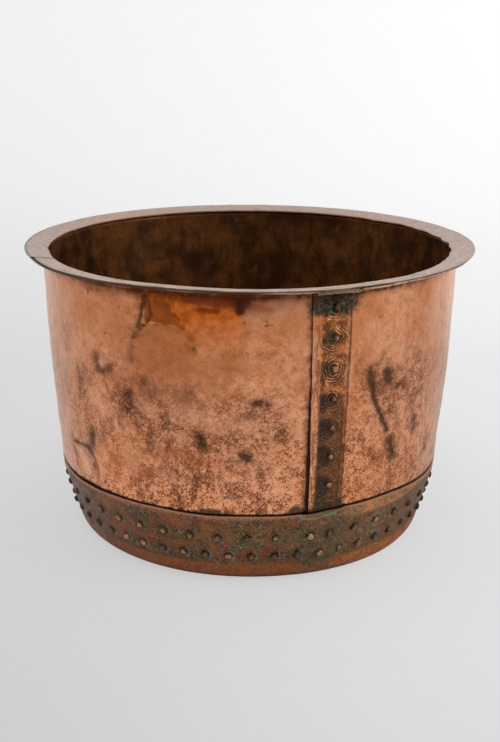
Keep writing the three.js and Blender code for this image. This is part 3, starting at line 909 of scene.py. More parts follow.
# %% Marks at known places on the wall
wall_marks = {
    # old solder, scrapes and specks
    "stain": ("line", [
        (3.3, 1.05, [(-25.8, 381), (-26.3, 370), (-26.8, 358), (-27.8, 342)]),
        (2.5, 0.9, [(-24.9, 380), (-24.3, 368), (-24.1, 356), (-25.8, 345)]),
        (2.3, 0.9, [(-25.8, 345), (-27.8, 342)]), (3.2, 0.9, [(-25.9, 380), (-25.6, 372)]),
        (1.6, 0.9, [(-13.1, 322.6), (-13.1, 322)]), (1.7, 0.8, [(-30.6, 357), (-30.6, 356)]),
        (1.7, 0.8, [(-33.3, 362), (-33.3, 361)]), (1.7, 0.7, [(-39, 326), (-38, 324)]),
        (1.9, 0.8, [(-44.3, 378), (-44.1, 371)]), (1.9, 0.8, [(-35.5, 378), (-35.2, 376)]),
        (1.6, 0.8, [(-1, 356), (-1, 355)]), (1.5, 0.8, [(3.2, 360.5), (4, 358)]),
        (1.6, 0.85, [(3.6, 352), (5.2, 353.5)]), (1.5, 0.8, [(33.2, 351.7), (34.4, 352)]),
        (1.8, 0.8, [(27.3, 373), (27.3, 372)]), (5.2, 1.05, [(31.5, 286), (31.8, 276), (32.6, 262)]),
        (4, 1.05, [(32.6, 262), (33.1, 250), (34.7, 234), (36.8, 214), (39, 197)]),
        (3.8, 0.9, [(40.4, 181), (41.1, 171), (41.9, 163)]), (2.2, 0.7, [(38.8, 226), (39.8, 219)]),
        (2, 1.05, [(-50, 155), (-47.4, 145), (-46.2, 133), (-46.1, 121)]),
        (2.4, 0.95, [(-58.4, 151), (-55.5, 154), (-52.4, 156), (-50, 155)]),
    ]),
    # soft dark places: dirt, and painted shade in most of the dents
    "smudge": ("soft", [
        (10, 1, [(-32.4, 252), (-31.9, 240), (-31.7, 232)]), (16, 0.45, [(-33, 262), (-30, 236)]),
        (8, 0.85, [(-27.4, 270), (-24.2, 259)]), (6, 0.75, [(-21, 232), (-21.2, 225)]),
        (9, 0.6, [(-26.1, 203), (-26.1, 182)]), (7, 0.7, [(-20.7, 195), (-21, 186)]),
        (9, 0.45, [(-38.8, 210), (-38.1, 202)]), (7, 0.7, [(-18.7, 158), (-18.5, 152)]),
        (9, 0.7, [(-51.3, 262), (-50.6, 250)]), (9, 0.6, [(-50.3, 244), (-49.6, 232)]),
        (7, 0.95, [(-42.4, 292), (-43, 284), (-42.2, 276)]),
        (6, 0.9, [(-41.6, 275), (-38.4, 276), (-37.4, 283)]), (14, 0.5, [(-42.4, 292), (-39, 274)]),
        (12, 0.5, [(-18.3, 263), (-13.8, 264)]), (14, 0.45, [(-36, 215), (-34, 200)]),
        (8, 1.15, [(-12.1, 207), (-12, 200)]), (17, 0.5, [(-12.8, 206), (-10.5, 196)]),
        (8, 1.25, [(-1.3, 185), (-0.5, 184)]), (14, 0.55, [(-4, 178), (-2, 182)]),
        (6, 1.05, [(1.8, 255), (4.2, 254)]), (12, 0.5, [(1, 252), (5, 258)]),
        (5, 0.95, [(6.5, 209.5), (8.7, 216)]), (10, 0.5, [(5, 212), (9, 226)]),
        (7, 0.65, [(-1, 240), (1.5, 243)]), (10, 0.6, [(33.4, 288), (34.6, 262), (37, 236)]),
        (7, 0.9, [(31.5, 286), (32.6, 262), (34.7, 234), (39, 197)]), (5, 0.75, [(35.4, 304), (34.2, 289)]),
        (8, 1.25, [(37.1, 279), (38.2, 267)]), (6, 0.9, [(38.6, 262), (40.5, 255.5), (43.4, 254)]),
        (5, 0.85, [(38.8, 226), (39.9, 218)]), (9, 0.6, [(41.6, 214), (42.6, 200)]),
        (8, 1.1, [(40.3, 184), (42, 160)]), (8, 1, [(50.3, 199), (50.7, 187)]),
        (7, 0.65, [(50.7, 240), (51, 234)]), (8, 0.9, [(59.9, 153), (59.7, 143)]),
        (7, 0.6, [(37.7, 162), (34, 172)]), (8, 0.5, [(27.6, 386), (27.8, 372)]),
        (9, 0.55, [(46, 300), (50, 286)]), (10, 0.5, [(28, 300), (29, 272)]),
        (12, 0.45, [(-56, 310), (-57, 286)]), (6, 1, [(-46.6, 182), (-47.4, 170), (-49, 157)]),
        (7, 0.6, [(-44.6, 184), (-44.4, 168)]), (4.5, 0.8, [(-57.8, 153), (-53.6, 155), (-50.4, 155)]),
        (5, 0.8, [(-50, 153), (-48.2, 142), (-47.2, 132)]),
        (4, 0.35, [(-59.5, 155), (-58.9, 140), (-57.8, 122)]), (9, 0.6, [(-26.2, 378), (-27.2, 352)]),
        (6, 0.8, [(-27.8, 342), (-28.7, 334), (-29.7, 327)]),
        (5, 0.55, [(-29.7, 327), (-30.4, 313), (-30.4, 296)]), (6, 0.45, [(-14.5, 326), (-13.2, 321)]),
        (9, 0.5, [(-44.3, 380), (-35, 380)]),
    ]),
    # orange where a flame heated the rim
    "heat_tint": ("soft", [
        (8, 1.15, [(-23.5, 381), (-18.5, 379), (-15.5, 371), (-13.4, 360)]),
        (8, 1.1, [(-13, 367), (-8, 363), (-3.6, 365)]), (6, 1.05, [(-18.6, 371), (-16.2, 360), (-14.4, 350)]),
        (6, 0.8, [(-13, 375), (-9, 373), (-4.5, 372)]), (20, 0.66, [(-13, 353), (-4.5, 353)]),
        (7, 0.66, [(-14.4, 352), (-13.3, 338)]),
    ]),
    # the brown tongue at the left of the heat tint
    "tongue": ("patch", [
        (10, 0.95, [(-22.6, 368), (-20.6, 366)]), (7.6, 0.9, [(-24.2, 357.4), (-20, 356.4), (-18, 356)]),
        (3.2, 0.8, [(-18.5, 352), (-15.8, 346)]), (4, 0.75, [(-25.1, 374), (-25.3, 352)]),
    ]),
    # deep red-brown close under the rim
    "ember": ("soft", [
        (7, 1.25, [(-15, 385), (-9, 382), (-4, 385)]), (3.5, 0.9, [(-11.8, 370), (-7.5, 369)]),
        (5, 0.9, [(-30, 386), (-24, 386)]), (5, 0.7, [(-26, 381), (-17, 382)]),
    ]),
    "red_tint": ("soft", [
        (8, 0.9, [(0.3, 374), (4.4, 370.5)]), (8, 1.1, [(-20, 390), (-4, 388), (12, 391)]),
        (8, 0.8, [(-8, 381), (-3, 376)]), (8, 0.4, [(6, 372), (9, 378)]),
        (3, 0.8, [(-59.5, 160), (-58.9, 140), (-57.8, 120)]),
    ]),
    "violet_tint": ("soft", [
        (11, 0.8, [(5.5, 382), (9.4, 377)]),
    ]),
    "purple": ("soft", [
        (6.5, 1.3, [(-1.2, 390), (-1.6, 380)]), (4.5, 1.2, [(-1.8, 378), (-2, 369)]),
        (9, 0.5, [(-5, 390), (1, 389), (5, 391)]),
    ]),
    # the thin edges of the brown cast
    "heat_line": ("soft", [
        (1.8, 0.9, [(-29.8, 321), (-28.6, 334), (-25.6, 345), (-21, 348.5), (-16.5, 345), (-14.4, 335),
                    (-13.1, 322)]),
        (1.8, 1, [(-20.5, 375), (-17.7, 372), (-16.2, 364), (-14.8, 352), (-13.9, 340), (-12.9, 326)]),
    ]),
    # painted highlights, most of them in dents
    "shine": ("soft", [
        (5, 1, [(-40.7, 284), (-40.7, 282)]), (9, 1, [(-54.5, 143), (-52, 122)]),
        (9, 0.45, [(-42.8, 182), (-42.2, 150)]), (6, 0.4, [(-25.4, 264), (-22.6, 258)]),
        (4, 0.9, [(-63, 268), (-62, 240)]), (3.5, 0.7, [(-45, 186), (-44.6, 170)]),
        (16, 0.35, [(-16, 300), (-8, 306)]),
    ]),
    # painted highlights: lighter patches where the copper mirrors the bright room
    "bright": ("soft", [
        (11, 0.9, [(-28.5, 240), (-26, 236)]), (13, 0.9, [(-18, 238), (-8, 226), (0, 228)]),
        (14, 1.1, [(-44, 232), (-39, 216), (-35, 205)]), (10, 0.9, [(-17.5, 205), (-15.5, 203)]),
        (12, 1.1, [(-33, 172), (-32, 158)]), (12, 0.9, [(36, 208), (44, 200)]),
        (12, 0.8, [(66, 372), (66, 300)]), (9, 0.9, [(12.6, 228), (13, 214)]),
        (13, 0.8, [(33, 300), (43, 300), (52, 298)]), (15, 1.1, [(56, 372), (57, 300)]),
        (9, 0.8, [(1, 364), (7, 362)]), (9, 0.6, [(-24, 150), (-18, 146)]),
    ]),
    "dull": ("soft", [
        (16, 0.9, [(-34.5, 374), (-33.8, 350), (-34, 322)]), (12, 0.5, [(-43, 345), (-42, 325)]),
        (16, 1, [(-29.5, 298), (-22, 292), (-10, 296), (-3, 302)]), (12, 0.8, [(-24, 182), (-12, 181)]),
        (11, 0.5, [(-41, 134), (-33, 128)]), (12, 1, [(-38, 272), (-36, 262)]),
        (12, 0.9, [(-31.5, 275), (-30, 262)]), (10, 0.9, [(-37, 318), (-37, 308)]),
        (10, 0.7, [(-24, 300), (-22, 288)]), (10, 0.9, [(36, 266), (38, 258)]),
        (11, 0.7, [(45, 384), (48, 380)]), (9, 0.9, [(13, 276), (13, 268)]), (9, 0.7, [(0, 386), (4, 386)]),
        (13, 0.6, [(-22, 278), (-8, 278)]), (9, 0.6, [(-5, 378), (2, 380)]),
        (13, 0.8, [(-36, 160), (-31, 148), (-28, 146)]), (6, 1, [(-50, 144), (-48.6, 134), (-47.6, 126)]),
    ]),
    # a green-brown film
    "olive": ("soft", [
        (11, 0.9, [(40.6, 183), (41.8, 160)]), (9, 0.7, [(32.5, 284), (34, 250)]),
        (8, 1.2, [(-47, 180), (-47.8, 166), (-49, 156)]), (6, 0.8, [(-57, 152), (-52, 150)]),
        (7, 0.8, [(68.3, 128), (68.3, 124)]), (10, 1.1, [(76, 190), (77, 118)]),
        (9, 0.6, [(-76, 150), (-77, 112)]),
    ]),
}
A, Z = A_wall, Z_wall
front, z = wrapped(A), Z / mm
ahead = 1 - smooth(np.abs(front), 112, 158)
noted_on_wall = {name: strokes(A, Z, marks, kind) for name, (kind, marks) in wall_marks.items()}
print(sum(len(marks) for kind, marks in wall_marks.values()), "strokes in", len(wall_marks), "kinds")

# %% [markdown]
# The rest of the ageing, and the painted reflection on the sides, follow the height and the side rather
# than single places. Pits cover the lower half, where the metal stood wet longest, and stop higher up on
# the right. A brown cast with a round top hangs below the solder run. The sides that turn away from the eye
# are painted paler, with darker streaks near both edges: a painted reflection of the bright room seen at a
# grazing angle. All of it goes over into plain polished copper behind the sides, so that nothing ends in a
# line at the back.

# %% Where the wall is pitted, clouded and browned
def blot(angle, wide, level, tall):
    """A soft oval at an angle from the front and a height in mm, the product of two bells, on the sheet
    that front and z were last set for."""
    return hump(front - angle, wide) * hump(z - level, tall)


cast_round = 1 - smooth(np.hypot((front + 21.2) / 8.8, np.maximum(z - 322, 0) / 27.5), 0.95, 1.03)
cast_below = within(front, -34, -29, -15.5, -12) * (1 - smooth(z, 318, 326))
brown_cast = 0.9 * cast_round * smooth(z, 312, 322)
brown_cast += cast_below * (0.60 * smooth(z, 226, 262) + 0.30 * smooth(z, 282, 300))
crackled = within(front, -36, -28, 2, 18) * hump(z - 318, 30)
crackled += 0.35 * hump(z - 330, 40) * smooth(front, 24, 34) * ahead

speck_top = 285 + 34 * smooth(front, 22, 34) * ahead + 8 * hump(front + 42, 10)
pitting = 0.06 + 0.80 * (1 - smooth(z, speck_top - 62, speck_top + 8)) + 0.15 * (1 - smooth(z, 120, 170))
pitting += 0.25 * blot(-20, 16, 128, 26) + 0.30 * blot(-21, 13, 292, 22) + 0.12 * hump(z - 300, 30)
pitting -= 0.50 * blot(-43, 4, 160, 26) + 0.45 * blot(-52, 6, 128, 18)
pitting += 0.30 * wander(A / 360, Z, 101, 26, 45 * mm) * (1 - smooth(z, 280, 330))
pitting = np.clip(pitting, 0, 1.2) * (1 - 0.6 * smooth(np.abs(front), 48, 66))

noted_on_wall.update({
    "brown_cast": brown_cast,
    "crackled": crackled,
    "pitting": pitting * (1 - 0.10 * smooth(front, 24, 30) * ahead),
    "glaze": within(front, -31, -25, -6, 4) * smooth(z, 262, 320),
    "clouded": (0.18 + 0.58 * blot(-27, 22, 238, 55) + 0.35 * blot(-6, 20, 215, 45)
                + 0.40 * blot(44, 15, 250, 45) + 0.42 * blot(-20, 18, 145, 30)),
    "smoky": 0.30 + 0.45 * (1 - smooth(z, 300, 345)) + 0.35 * smooth(front, 26, 34) * ahead,
    # painted reflection: the sides turned away from the eye paler, with darker streaks near both edges
    "painted_side_reflection": np.clip((smooth(-front, 44, 74) + 1.1 * smooth(front, 50, 74)) * ahead, 0, 1),
    "painted_side_streaks": hump(front + 60, 13) + 0.45 * hump(front - 62, 9),
})
print("pits cover", round(float((pitting > 0.5).mean()), 2), "of the wall's points")

# %% [markdown]
# Dirt and verdigris follow the sheet's edges, and painted shade and light go with them. The free edge of
# the lap has a black line painted beside it, for dirt and the shadow that the edge casts, and a light line
# on it painted for wear and as a highlight; the crease is painted dark for dirt and shade, and the strip
# between them carries the rings round the rivets. A black line, painted for dirt and the shadow in the gap,
# and a brown crust run along the pan's edge, and the rim's shadow is painted on the wall below it. The
# flange's edge is painted light in front as a highlight.

# %% Where the seam, the foot and the rim mark the wall
outer_end = (A < 180).astype(float)
beside_edge = A - 360 - seam_edge
# painted shade and dirt: dark beside the lap's free edge and along the crease
left_of_edge = np.where(A > 300, hump(np.minimum(beside_edge, 0), 1.9), 0)
seam_dirt_and_shade = outer_end * (0.95 * hump(A - seam_crease - 0.1, 0.42)
                         + 0.75 * hump(A - seam_crease + 0.9, 0.5) * (1 - smooth(z, 250, 290)))
seam_dirt_and_shade += (0.80 + 0.20 * (1 - smooth(z, 240, 290))) * left_of_edge
gap_wide = 0.62 + 0.10 * (1 - smooth(z, 215, 285)) + 0.12 * ripple(Z / full_climb, 22, 60)
# painted highlight with wear on the crease
worn_crease = 0.75 * hump(A - seam_crease + 0.8, 0.22) * smooth(z, 235, 280)
across_seam = np.minimum(1.5 * hump(front - 19.6, 5.2), 1) + 0.35 * hump(front - 25.5, 2.0)
stain_high = smooth(z, 350, 374) * across_seam + 0.25 * smooth(z, 374, 386) * hump(front - 20, 5.5)

above_lip = (Z - pan_lip_height + lip_dip(A)) / mm
# the painted shadow and dirt line above the pan's edge, wider where the wall turns away to the sides
line_deep = 1.2 + 1.5 * smooth(np.abs(front), 26, 50) + 2.5 * smooth(np.abs(front), 58, 74)
crusted = 0.40 + 0.6 * hump(front - 20, 7) + 0.6 * hump(front + 41.7, 1.8) + 0.3 * hump(front + 13, 6)
crusted += 0.5 * hump(front + 9, 2.0) + 0.45 * hump(front - 12.5, 2.2)
crust = hump(above_lip - 2, 6) * crusted
crust += 0.7 * hump(above_lip - 11, 7) * (hump(front - 12.6, 1.6) + hump(front - 24.8, 1.8))
crust += 0.5 * hump(above_lip - 7, 4) * hump(front + 10, 3)

# the flange's edge, painted light in front as a highlight
rim_edge = smooth(R_wall, flange_radius - 2.8 * mm, flange_radius - 1.0 * mm)
shade_line = 0.55 * smooth(z, 374, 388) + 0.5 * smooth(z, 382.5, 386)
noted_on_wall.update({
    "strip": within(A, seam_edge - 0.1, seam_edge + 0.1, seam_crease, seam_crease + 0.6) * outer_end,
    "strip_across": np.radians(A - seam_edge) * wall_scale * outer_end,
    "ring_zone": within(A, seam_edge + 1.3, seam_edge + 2.2, seam_crease - 0.9, seam_crease - 0.1) * outer_end,
    "ring_share": np.minimum(seam_share, share_limit) / share_limit,
    "ring_side": seam_side,
    # painted shadow and dirt at the lap's edge and crease, painted highlight and wear on the edge
    "seam_dirt_and_shade": seam_dirt_and_shade,
    "seam_gap_shadow_and_dirt": np.where(A > 300, smooth(beside_edge, -gap_wide - 0.15, -gap_wide + 0.2), 0),
    "seam_wear_and_highlight": outer_end * np.maximum(0.9 * hump(A - seam_edge - 0.25, 0.22), worn_crease),
    "seam_green": np.maximum(1.15 * stain_high, 0.6 * hump(front - 20, 6) * (1 - smooth(z, 112, 150))),
    "seam_low": 1 - smooth(z, 205, 312),
    # painted shadow and dirt in the gap above the pan's edge
    "foot_gap_shadow_and_dirt": within(above_lip, -6, -1, line_deep, line_deep + 2.8),
    "crust": crust,
    "rim_edge": rim_edge,
    # where the flange's edge gets its painted highlight
    "rim_edge_highlight": (smooth(front, 0, 8) + 0.5 * hump(front + 15, 4)) * (1 - smooth(front, 52, 66)),
    "shade_line": shade_line * (1 - rim_edge) * (1 - 0.35 * smooth(np.abs(front), 35, 60)),
    # painted shade on the wall close under the rim
    "painted_rim_shade": smooth(z, 366, 388) * (1 - 0.5 * smooth(front, 2, 14) * ahead),
})
for name, values in noted_on_wall.items():
    note(wall, name, both_faces(values, values[:, inner_rows]))
print(len(noted_on_wall), "notes on each of the wall's points")

# %% [markdown]
# Polished copper is never one colour. It drifts between orange and pink over a hand's width, and clouds
# of brown lie in it where polish didn't reach. The pits are grains of noise cut off at a threshold, dark
# where they are deep and bright on the metal left between them.

# %% Finish of the wall: polish, clouds and pits
copper = Finish("polished_copper_wall")
noted = copper.noted
large, middle = copper.cloud(0.085, 2.0), copper.cloud(0.028, 3.0)
small, fine, grit = copper.cloud(0.010, 3.0), copper.cloud(0.0040, 2.0), copper.cloud(0.0017, 1.0)
smoke = copper.cloud(0.013, 3.0, 0.55, copper.stretched(1, 1, 0.65), 1.4)
curl = copper.cloud(0.0075, 2.0, 0.5, None, 2.4)
ragged = (small - 0.5) * 0.8 + (fine - 0.5) * 0.45
wisps = (middle - 0.5) * 0.9 + (small - 0.5) * 0.6

pinker = (large * 0.6 + middle * 0.4).from_to(0.40, 0.60)
copper.tone = copper.blend(pinker, (0.83, 0.292, 0.116), (0.97, 0.415, 0.215))
clouds = (middle * 0.45 + large * 0.25 + small * 0.3 - 0.5) * 1.5 + noted("clouded")
copper.coat(clouds.from_to(0.15, 0.85) * 0.62, (0.42, 0.155, 0.065))
drifts = smoke * 0.65 + small * 0.35
copper.coat(drifts.from_to(0.49, 0.66) * noted("smoky") * 0.55, (0.44, 0.16, 0.07))
copper.coat(drifts.below(0.34, 0.47) * noted("smoky") * 0.60, (0.98, 0.50, 0.30))

grain = fine * 0.38 + grit * 0.62
clumps = (middle - 0.5) * 0.38 + (small - 0.5) * 0.30 + noted("clouded") * 0.06
pits = (grain + clumps - noted("bright") * 0.05).from_to(0.515, 0.600) * noted("pitting")
copper.coat(pits * 0.74, (0.18, 0.062, 0.028))
powder = grain + (small - 0.5) * 0.3
copper.coat(powder.from_to(0.50, 0.64) * (noted("crackled") * 0.16 + 0.18), (0.40, 0.15, 0.07))
copper.coat(powder.below(0.38, 0.50) * (noted("crackled") * 0.22 + 0.08), (1.0, 0.52, 0.33))
creases = curl.thread(0.045) * noted("pitting") * small.from_to(0.4, 0.6)
copper.coat(creases * 0.45, (0.22, 0.075, 0.034))
flecks = (grain + clumps).below(0.38, 0.50) * noted("pitting")
copper.coat(flecks * 0.50, (0.98, 0.53, 0.34))
print("polish, clouds and pits take", len(copper.tree.nodes), "nodes")

# %% [markdown]
# Heat, grease and solder came over the polish, and painted light is laid on with them. They are laid on in
# the order in which they lie: the pale sides and dark streaks of the painted side reflection and thin brown
# casts first, then the flame's colours and a painted shade under the rim, then painted highlights, the dark
# smudges of dirt and of painted shade in the dents, scrapes and solder runs, and last painted highlights in
# the dents. Noise is added to each note before it is cut off, so its outline is torn.

# %% Finish of the wall: casts, heat, smudges and scrapes
# painted reflection: the sides paler where they turn from the eye
copper.coat(noted("painted_side_reflection") * 0.50, (0.80, 0.53, 0.37))
# painted reflection: darker streaks near both sides
runs = copper.cloud(0.012, 3.0, 0.6, copper.stretched(1, 1, 0.25), 0.9)
copper.coat(runs.from_to(0.46, 0.62) * noted("painted_side_streaks") * 0.30, (0.40, 0.23, 0.15))
wide, narrow = middle - 0.5, small - 0.5
copper.mark("glaze", wide * 0.5, 0.1, 1.0, 0.52, (0.76, 0.245, 0.080))
copper.mark("dull", wide * 0.5 + narrow * 0.3, 0.1, 1.1, 0.50, (0.52, 0.17, 0.065))
copper.mark("brown_cast", wide * 0.25 + narrow * 0.2, 0.10, 0.95, 0.60, (0.52, 0.172, 0.064))
cracks = copper.cloud(0.010, 3.0, 0.6, copper.stretched(1, 1, 1.8), 1.6).thread(0.032, 0.003)
copper.coat(cracks * small.from_to(0.42, 0.56) * noted("crackled") * 0.60, (0.30, 0.085, 0.032))
copper.mark("olive", ragged * 0.8, 0.15, 1.0, 0.55, (0.24, 0.13, 0.045))

mottle = small.from_to(0.4, 0.6)
orange = copper.blend(mottle, (0.86, 0.200, 0.026), (0.70, 0.145, 0.016))
brown = copper.blend(mottle, (0.42, 0.098, 0.016), (0.34, 0.078, 0.014))
copper.mark("heat_tint", wisps * 0.6, 0.0, 0.95, 0.95, orange)
copper.mark("tongue", ragged * 0.35, 0.3, 0.8, 0.90, brown)
ember = copper.mark("ember", wisps * 0.7 + ragged * 0.3, 0.15, 0.85, 0.90, (0.32, 0.055, 0.010))
red = copper.mark("red_tint", wisps * 0.6, 0.15, 1.0, 0.80, (0.28, 0.055, 0.014))
copper.mark("violet_tint", wisps * 0.4, 0.1, 1.0, 0.55, (0.46, 0.26, 0.21))
copper.coat(noted("heat_line") * small.from_to(0.40, 0.55) * 0.45, (0.25, 0.07, 0.02))
purple = copper.mark("purple", wisps * 0.5 + ragged * 0.4, 0.12, 0.85, 0.92, (0.06, 0.014, 0.009))
# painted shade under the rim, left out where the flame's colours lie
under = (noted("painted_rim_shade") * 0.8 + wisps * 0.8).from_to(0.15, 1.0)
copper.coat(under * (1.0 - purple.most(ember).most(red)) * 0.55, (0.42, 0.12, 0.034))

# painted highlights
copper.mark("bright", narrow * 0.5, 0.1, 1.1, 0.48, (1.0, 0.47, 0.26))
# dirt, and painted shade in the dents
smudge = (noted("smudge") * (1.1 + ragged * 1.5 + (grain - 0.5) * 1.6) + wisps * 0.2).from_to(0.08, 1.15)
copper.coat(smudge * 0.78, (0.15, 0.060, 0.028))
copper.mark("smudge", ragged * 0.7 + (grain - 0.5) * 0.5, 0.75, 1.25, 0.7, (0.052, 0.028, 0.016))
upright_grain = copper.cloud(0.0035, 2.0, 0.5, copper.stretched(1, 1, 0.45)) - 0.5
stain = copper.mark("stain", ragged + upright_grain * 1.2, 0.15, 1.05, 0.80, (0.12, 0.052, 0.022))
# painted highlights in the dents
copper.mark("shine", ragged * 0.5, 0.2, 1.0, 0.5, (0.95, 0.56, 0.38))
print("with its marks", len(copper.tree.nodes), "nodes")

# %% [markdown]
# Round each seam rivet the hammer left rings, like ripples on water. They are a sine of the distance
# from the rivet, bent by noise, and between the rivets they pass into crossed wrinkles. Their crests are
# worn and painted bright as highlights, and their floors hold a dark crust, green at the top and rust brown
# at the foot.

# %% Finish of the wall: the riveted seam
uneven = (middle - 0.5) * 0.9 + (small - 0.5) * 1.1 + (fine - 0.5) * 0.4
from_rivet = noted("ring_share") * share_limit
share = from_rivet + uneven * 0.5
waves = share.sine(29.0)
across, climb = noted("strip_across"), copper.axis("Z")
leaning = copper.joined(across + climb * 0.8, (across - climb) * 0.15)
leaning_back = copper.joined(across - climb * 0.8, (across + climb) * 0.15)
crossed = copper.cloud(0.0026, 2.0, 0.5, leaning, 0.5).most(copper.cloud(0.0026, 2.0, 0.5, leaning_back, 0.5))
inside_ring = share.below(0.95, 1.2)
folds = waves * inside_ring + crossed.from_to(0.48, 0.66, -1.0, 1.0) * (1.0 - inside_ring)

zone, low_seam = noted("ring_zone"), (noted("seam_low") + wisps * 0.8).from_to(0.1, 0.9)
broken = (middle * 0.4 + fine * 0.6).from_to(0.40, 0.56)
margin = noted("strip") * (1.0 - zone)
drawn = copper.cloud(0.0030, 3.0, 0.6, copper.stretched(1, 1, 0.22), 0.6)
copper.coat(margin * drawn.from_to(0.42, 0.58) * 0.75, (0.34, 0.10, 0.04))
copper.coat(margin * drawn.below(0.34, 0.44) * 0.45, (1.0, 0.52, 0.30))

patches = (middle * 0.4 + small * 0.6).from_to(0.40, 0.56)
strip_tone = copper.blend(patches, (0.68, 0.225, 0.072), (0.22, 0.075, 0.028))
hollow = (1.08 + low_seam * 0.35 - share + wisps * 0.9).from_to(0.1, 0.7)
strip_tone = copper.blend(hollow * 0.78, strip_tone, (0.070, 0.036, 0.021))
redder = (small * 0.6 + fine * 0.4).from_to(0.45, 0.58)
rust = copper.blend(redder, (0.085, 0.058, 0.027), (0.32, 0.098, 0.038))
strip_tone = copper.blend(low_seam * 0.85, strip_tone, rust)
core = (0.62 + low_seam * 0.30 - from_rivet + uneven * 0.6 - noted("ring_side") * 0.7).from_to(0.0, 0.4)
strip_tone = copper.blend(core * 0.85, strip_tone, (0.018, 0.024, 0.020))
# crests painted bright, for wear and as highlights
crest_wear_and_highlight = folds.from_to(0.2, 1.0) * broken * (1.0 - low_seam * 0.70)
strip_tone = copper.blend(crest_wear_and_highlight * (1.0 - core * 0.6) * 0.8, strip_tone, (1.0, 0.50, 0.24))
copper.coat(zone * 0.95, strip_tone)

# painted shade and dirt beside the lap's edge and in the crease
copper.mark("seam_dirt_and_shade", ragged, 0.2, 1.0, 0.8, (0.135, 0.045, 0.020))
green_tone = copper.blend(fine.from_to(0.5, 0.65), (0.032, 0.034, 0.026), (0.13, 0.15, 0.11))
green = copper.mark("seam_green", wisps * 0.5 + ragged * 0.4, 0.25, 0.85, 0.90, green_tone)
# painted highlight and wear on the free edge and the crease
copper.coat(noted("seam_wear_and_highlight") * broken * (1.0 - green) * 0.8, (0.98, 0.50, 0.30))
print("with the seam", len(copper.tree.nodes), "nodes")

# %% [markdown]
# The joint with the pan and the lap's free edge are painted black, for old dirt and the shadow in the gap,
# the rim's shadow is painted on the wall below it, and the turned-out edge under the ring is painted light
# in front as a highlight. The relief is shallow, because polish has taken off all that stood up: pits and
# scrapes are sunk, the rings stand, and over all goes the faint orange peel of planished copper.

# %% Finish of the wall: foot, rim and surface
crust = copper.mark("crust", ragged * 1.6, 0.25, 0.8, 0.85, (0.075, 0.058, 0.032))
# painted shadow and dirt in the gaps at the pan's edge and at the lap's free edge
line = (noted("foot_gap_shadow_and_dirt") + ragged * 0.4).from_to(0.3, 0.7)
black = line.most(noted("seam_gap_shadow_and_dirt"))
copper.coat(black * 0.95, copper.blend(line, (0.036, 0.020, 0.012), (0.012, 0.009, 0.006)))
shaded = noted("shade_line") * (small * 0.5 + middle * 0.5).from_to(0.36, 0.54, 0.55, 1.0)
copper.coat(shaded * 0.92, (0.075, 0.020, 0.007))
# the flange's edge painted light in front as a highlight
rim_edge_tone_and_highlight = copper.blend(noted("rim_edge_highlight"), (0.10, 0.075, 0.05), (0.68, 0.42, 0.30))
rim_edge_tone_and_highlight = copper.blend((small * 0.5 + fine * 0.5).from_to(0.52, 0.62) * 0.7, rim_edge_tone_and_highlight, (0.16, 0.10, 0.07))
copper.coat(noted("rim_edge") * (1.0 - green * 0.5) * 0.92, rim_edge_tone_and_highlight)

dull = pits.most(stain).most(smudge * 0.6).most(crust).most(zone * 0.5).most(black)
rough = dull.from_to(0.0, 1.0, 0.30, 0.55) + (small - 0.5) * 0.15
height = small * 0.5 + fine * 0.25 - pits * 0.45 - stain * 0.5
peel = copper.relief(folds * zone, 0.0005, copper.relief(copper.cloud(0.012, 2.0), 0.0006))
wall_metal = copper.metal(rough, copper.relief(height, 0.00028, peel))
print("wall finish has", len(copper.tree.nodes), "nodes")

# %% [markdown]
# Inside, nobody ever polished. The copper is dark brown with runs down the wall and a few pale spots of
# lime, and the base pan's inner face wears the same finish.

# %% Finish of the inside
inside = Finish("dark_inside_of_wall")
runs = inside.cloud(0.03, 3.0, 0.6, inside.stretched(1, 1, 0.6), 0.6)
blots, scab = inside.cloud(0.05, 3.0), inside.cloud(0.007, 3.0)
pale_spots = inside.cloud(0.012, 2.0, 0.5, inside.stretched(1, 1, 0.5))
browner = (runs * 0.4 + blots * 0.6).from_to(0.40, 0.60)
inside.tone = inside.blend(browner, (0.085, 0.030, 0.009), (0.21, 0.072, 0.015))
inside.coat((scab * 0.6 + blots * 0.4).from_to(0.5, 0.62) * 0.35, (0.045, 0.018, 0.007))
inside.coat(pale_spots.from_to(0.66, 0.74) * 0.35, (0.20, 0.16, 0.14))
inside_metal = inside.metal(runs.from_to(0.3, 0.7, 0.40, 0.58), inside.relief(blots + scab * 0.15, 0.0012), 0.8)

section_rows = flat_rows + len(inner_rows)
faces_round = len(wall_degrees) - 1
slots = np.zeros(len(wall.data.polygons), np.int32)
slots[: faces_round * section_rows] = np.tile(np.arange(section_rows) >= flat_rows, faces_round)
wear(wall, slots, wall_metal, inside_metal)
print("inside finish has", len(inside.tree.nodes), "nodes, on", int(slots.sum()), "faces of the wall")

# %% [markdown]
# The pan was never polished like the wall. It is dark red-brown with green in it, scored with fine
# curled scratches, and each rivet sits in a dark halo with a crescent of verdigris on one side. Its lip
# and its lower corner are rubbed back to orange copper, more on the right, and its top edge is painted
# light as a highlight.

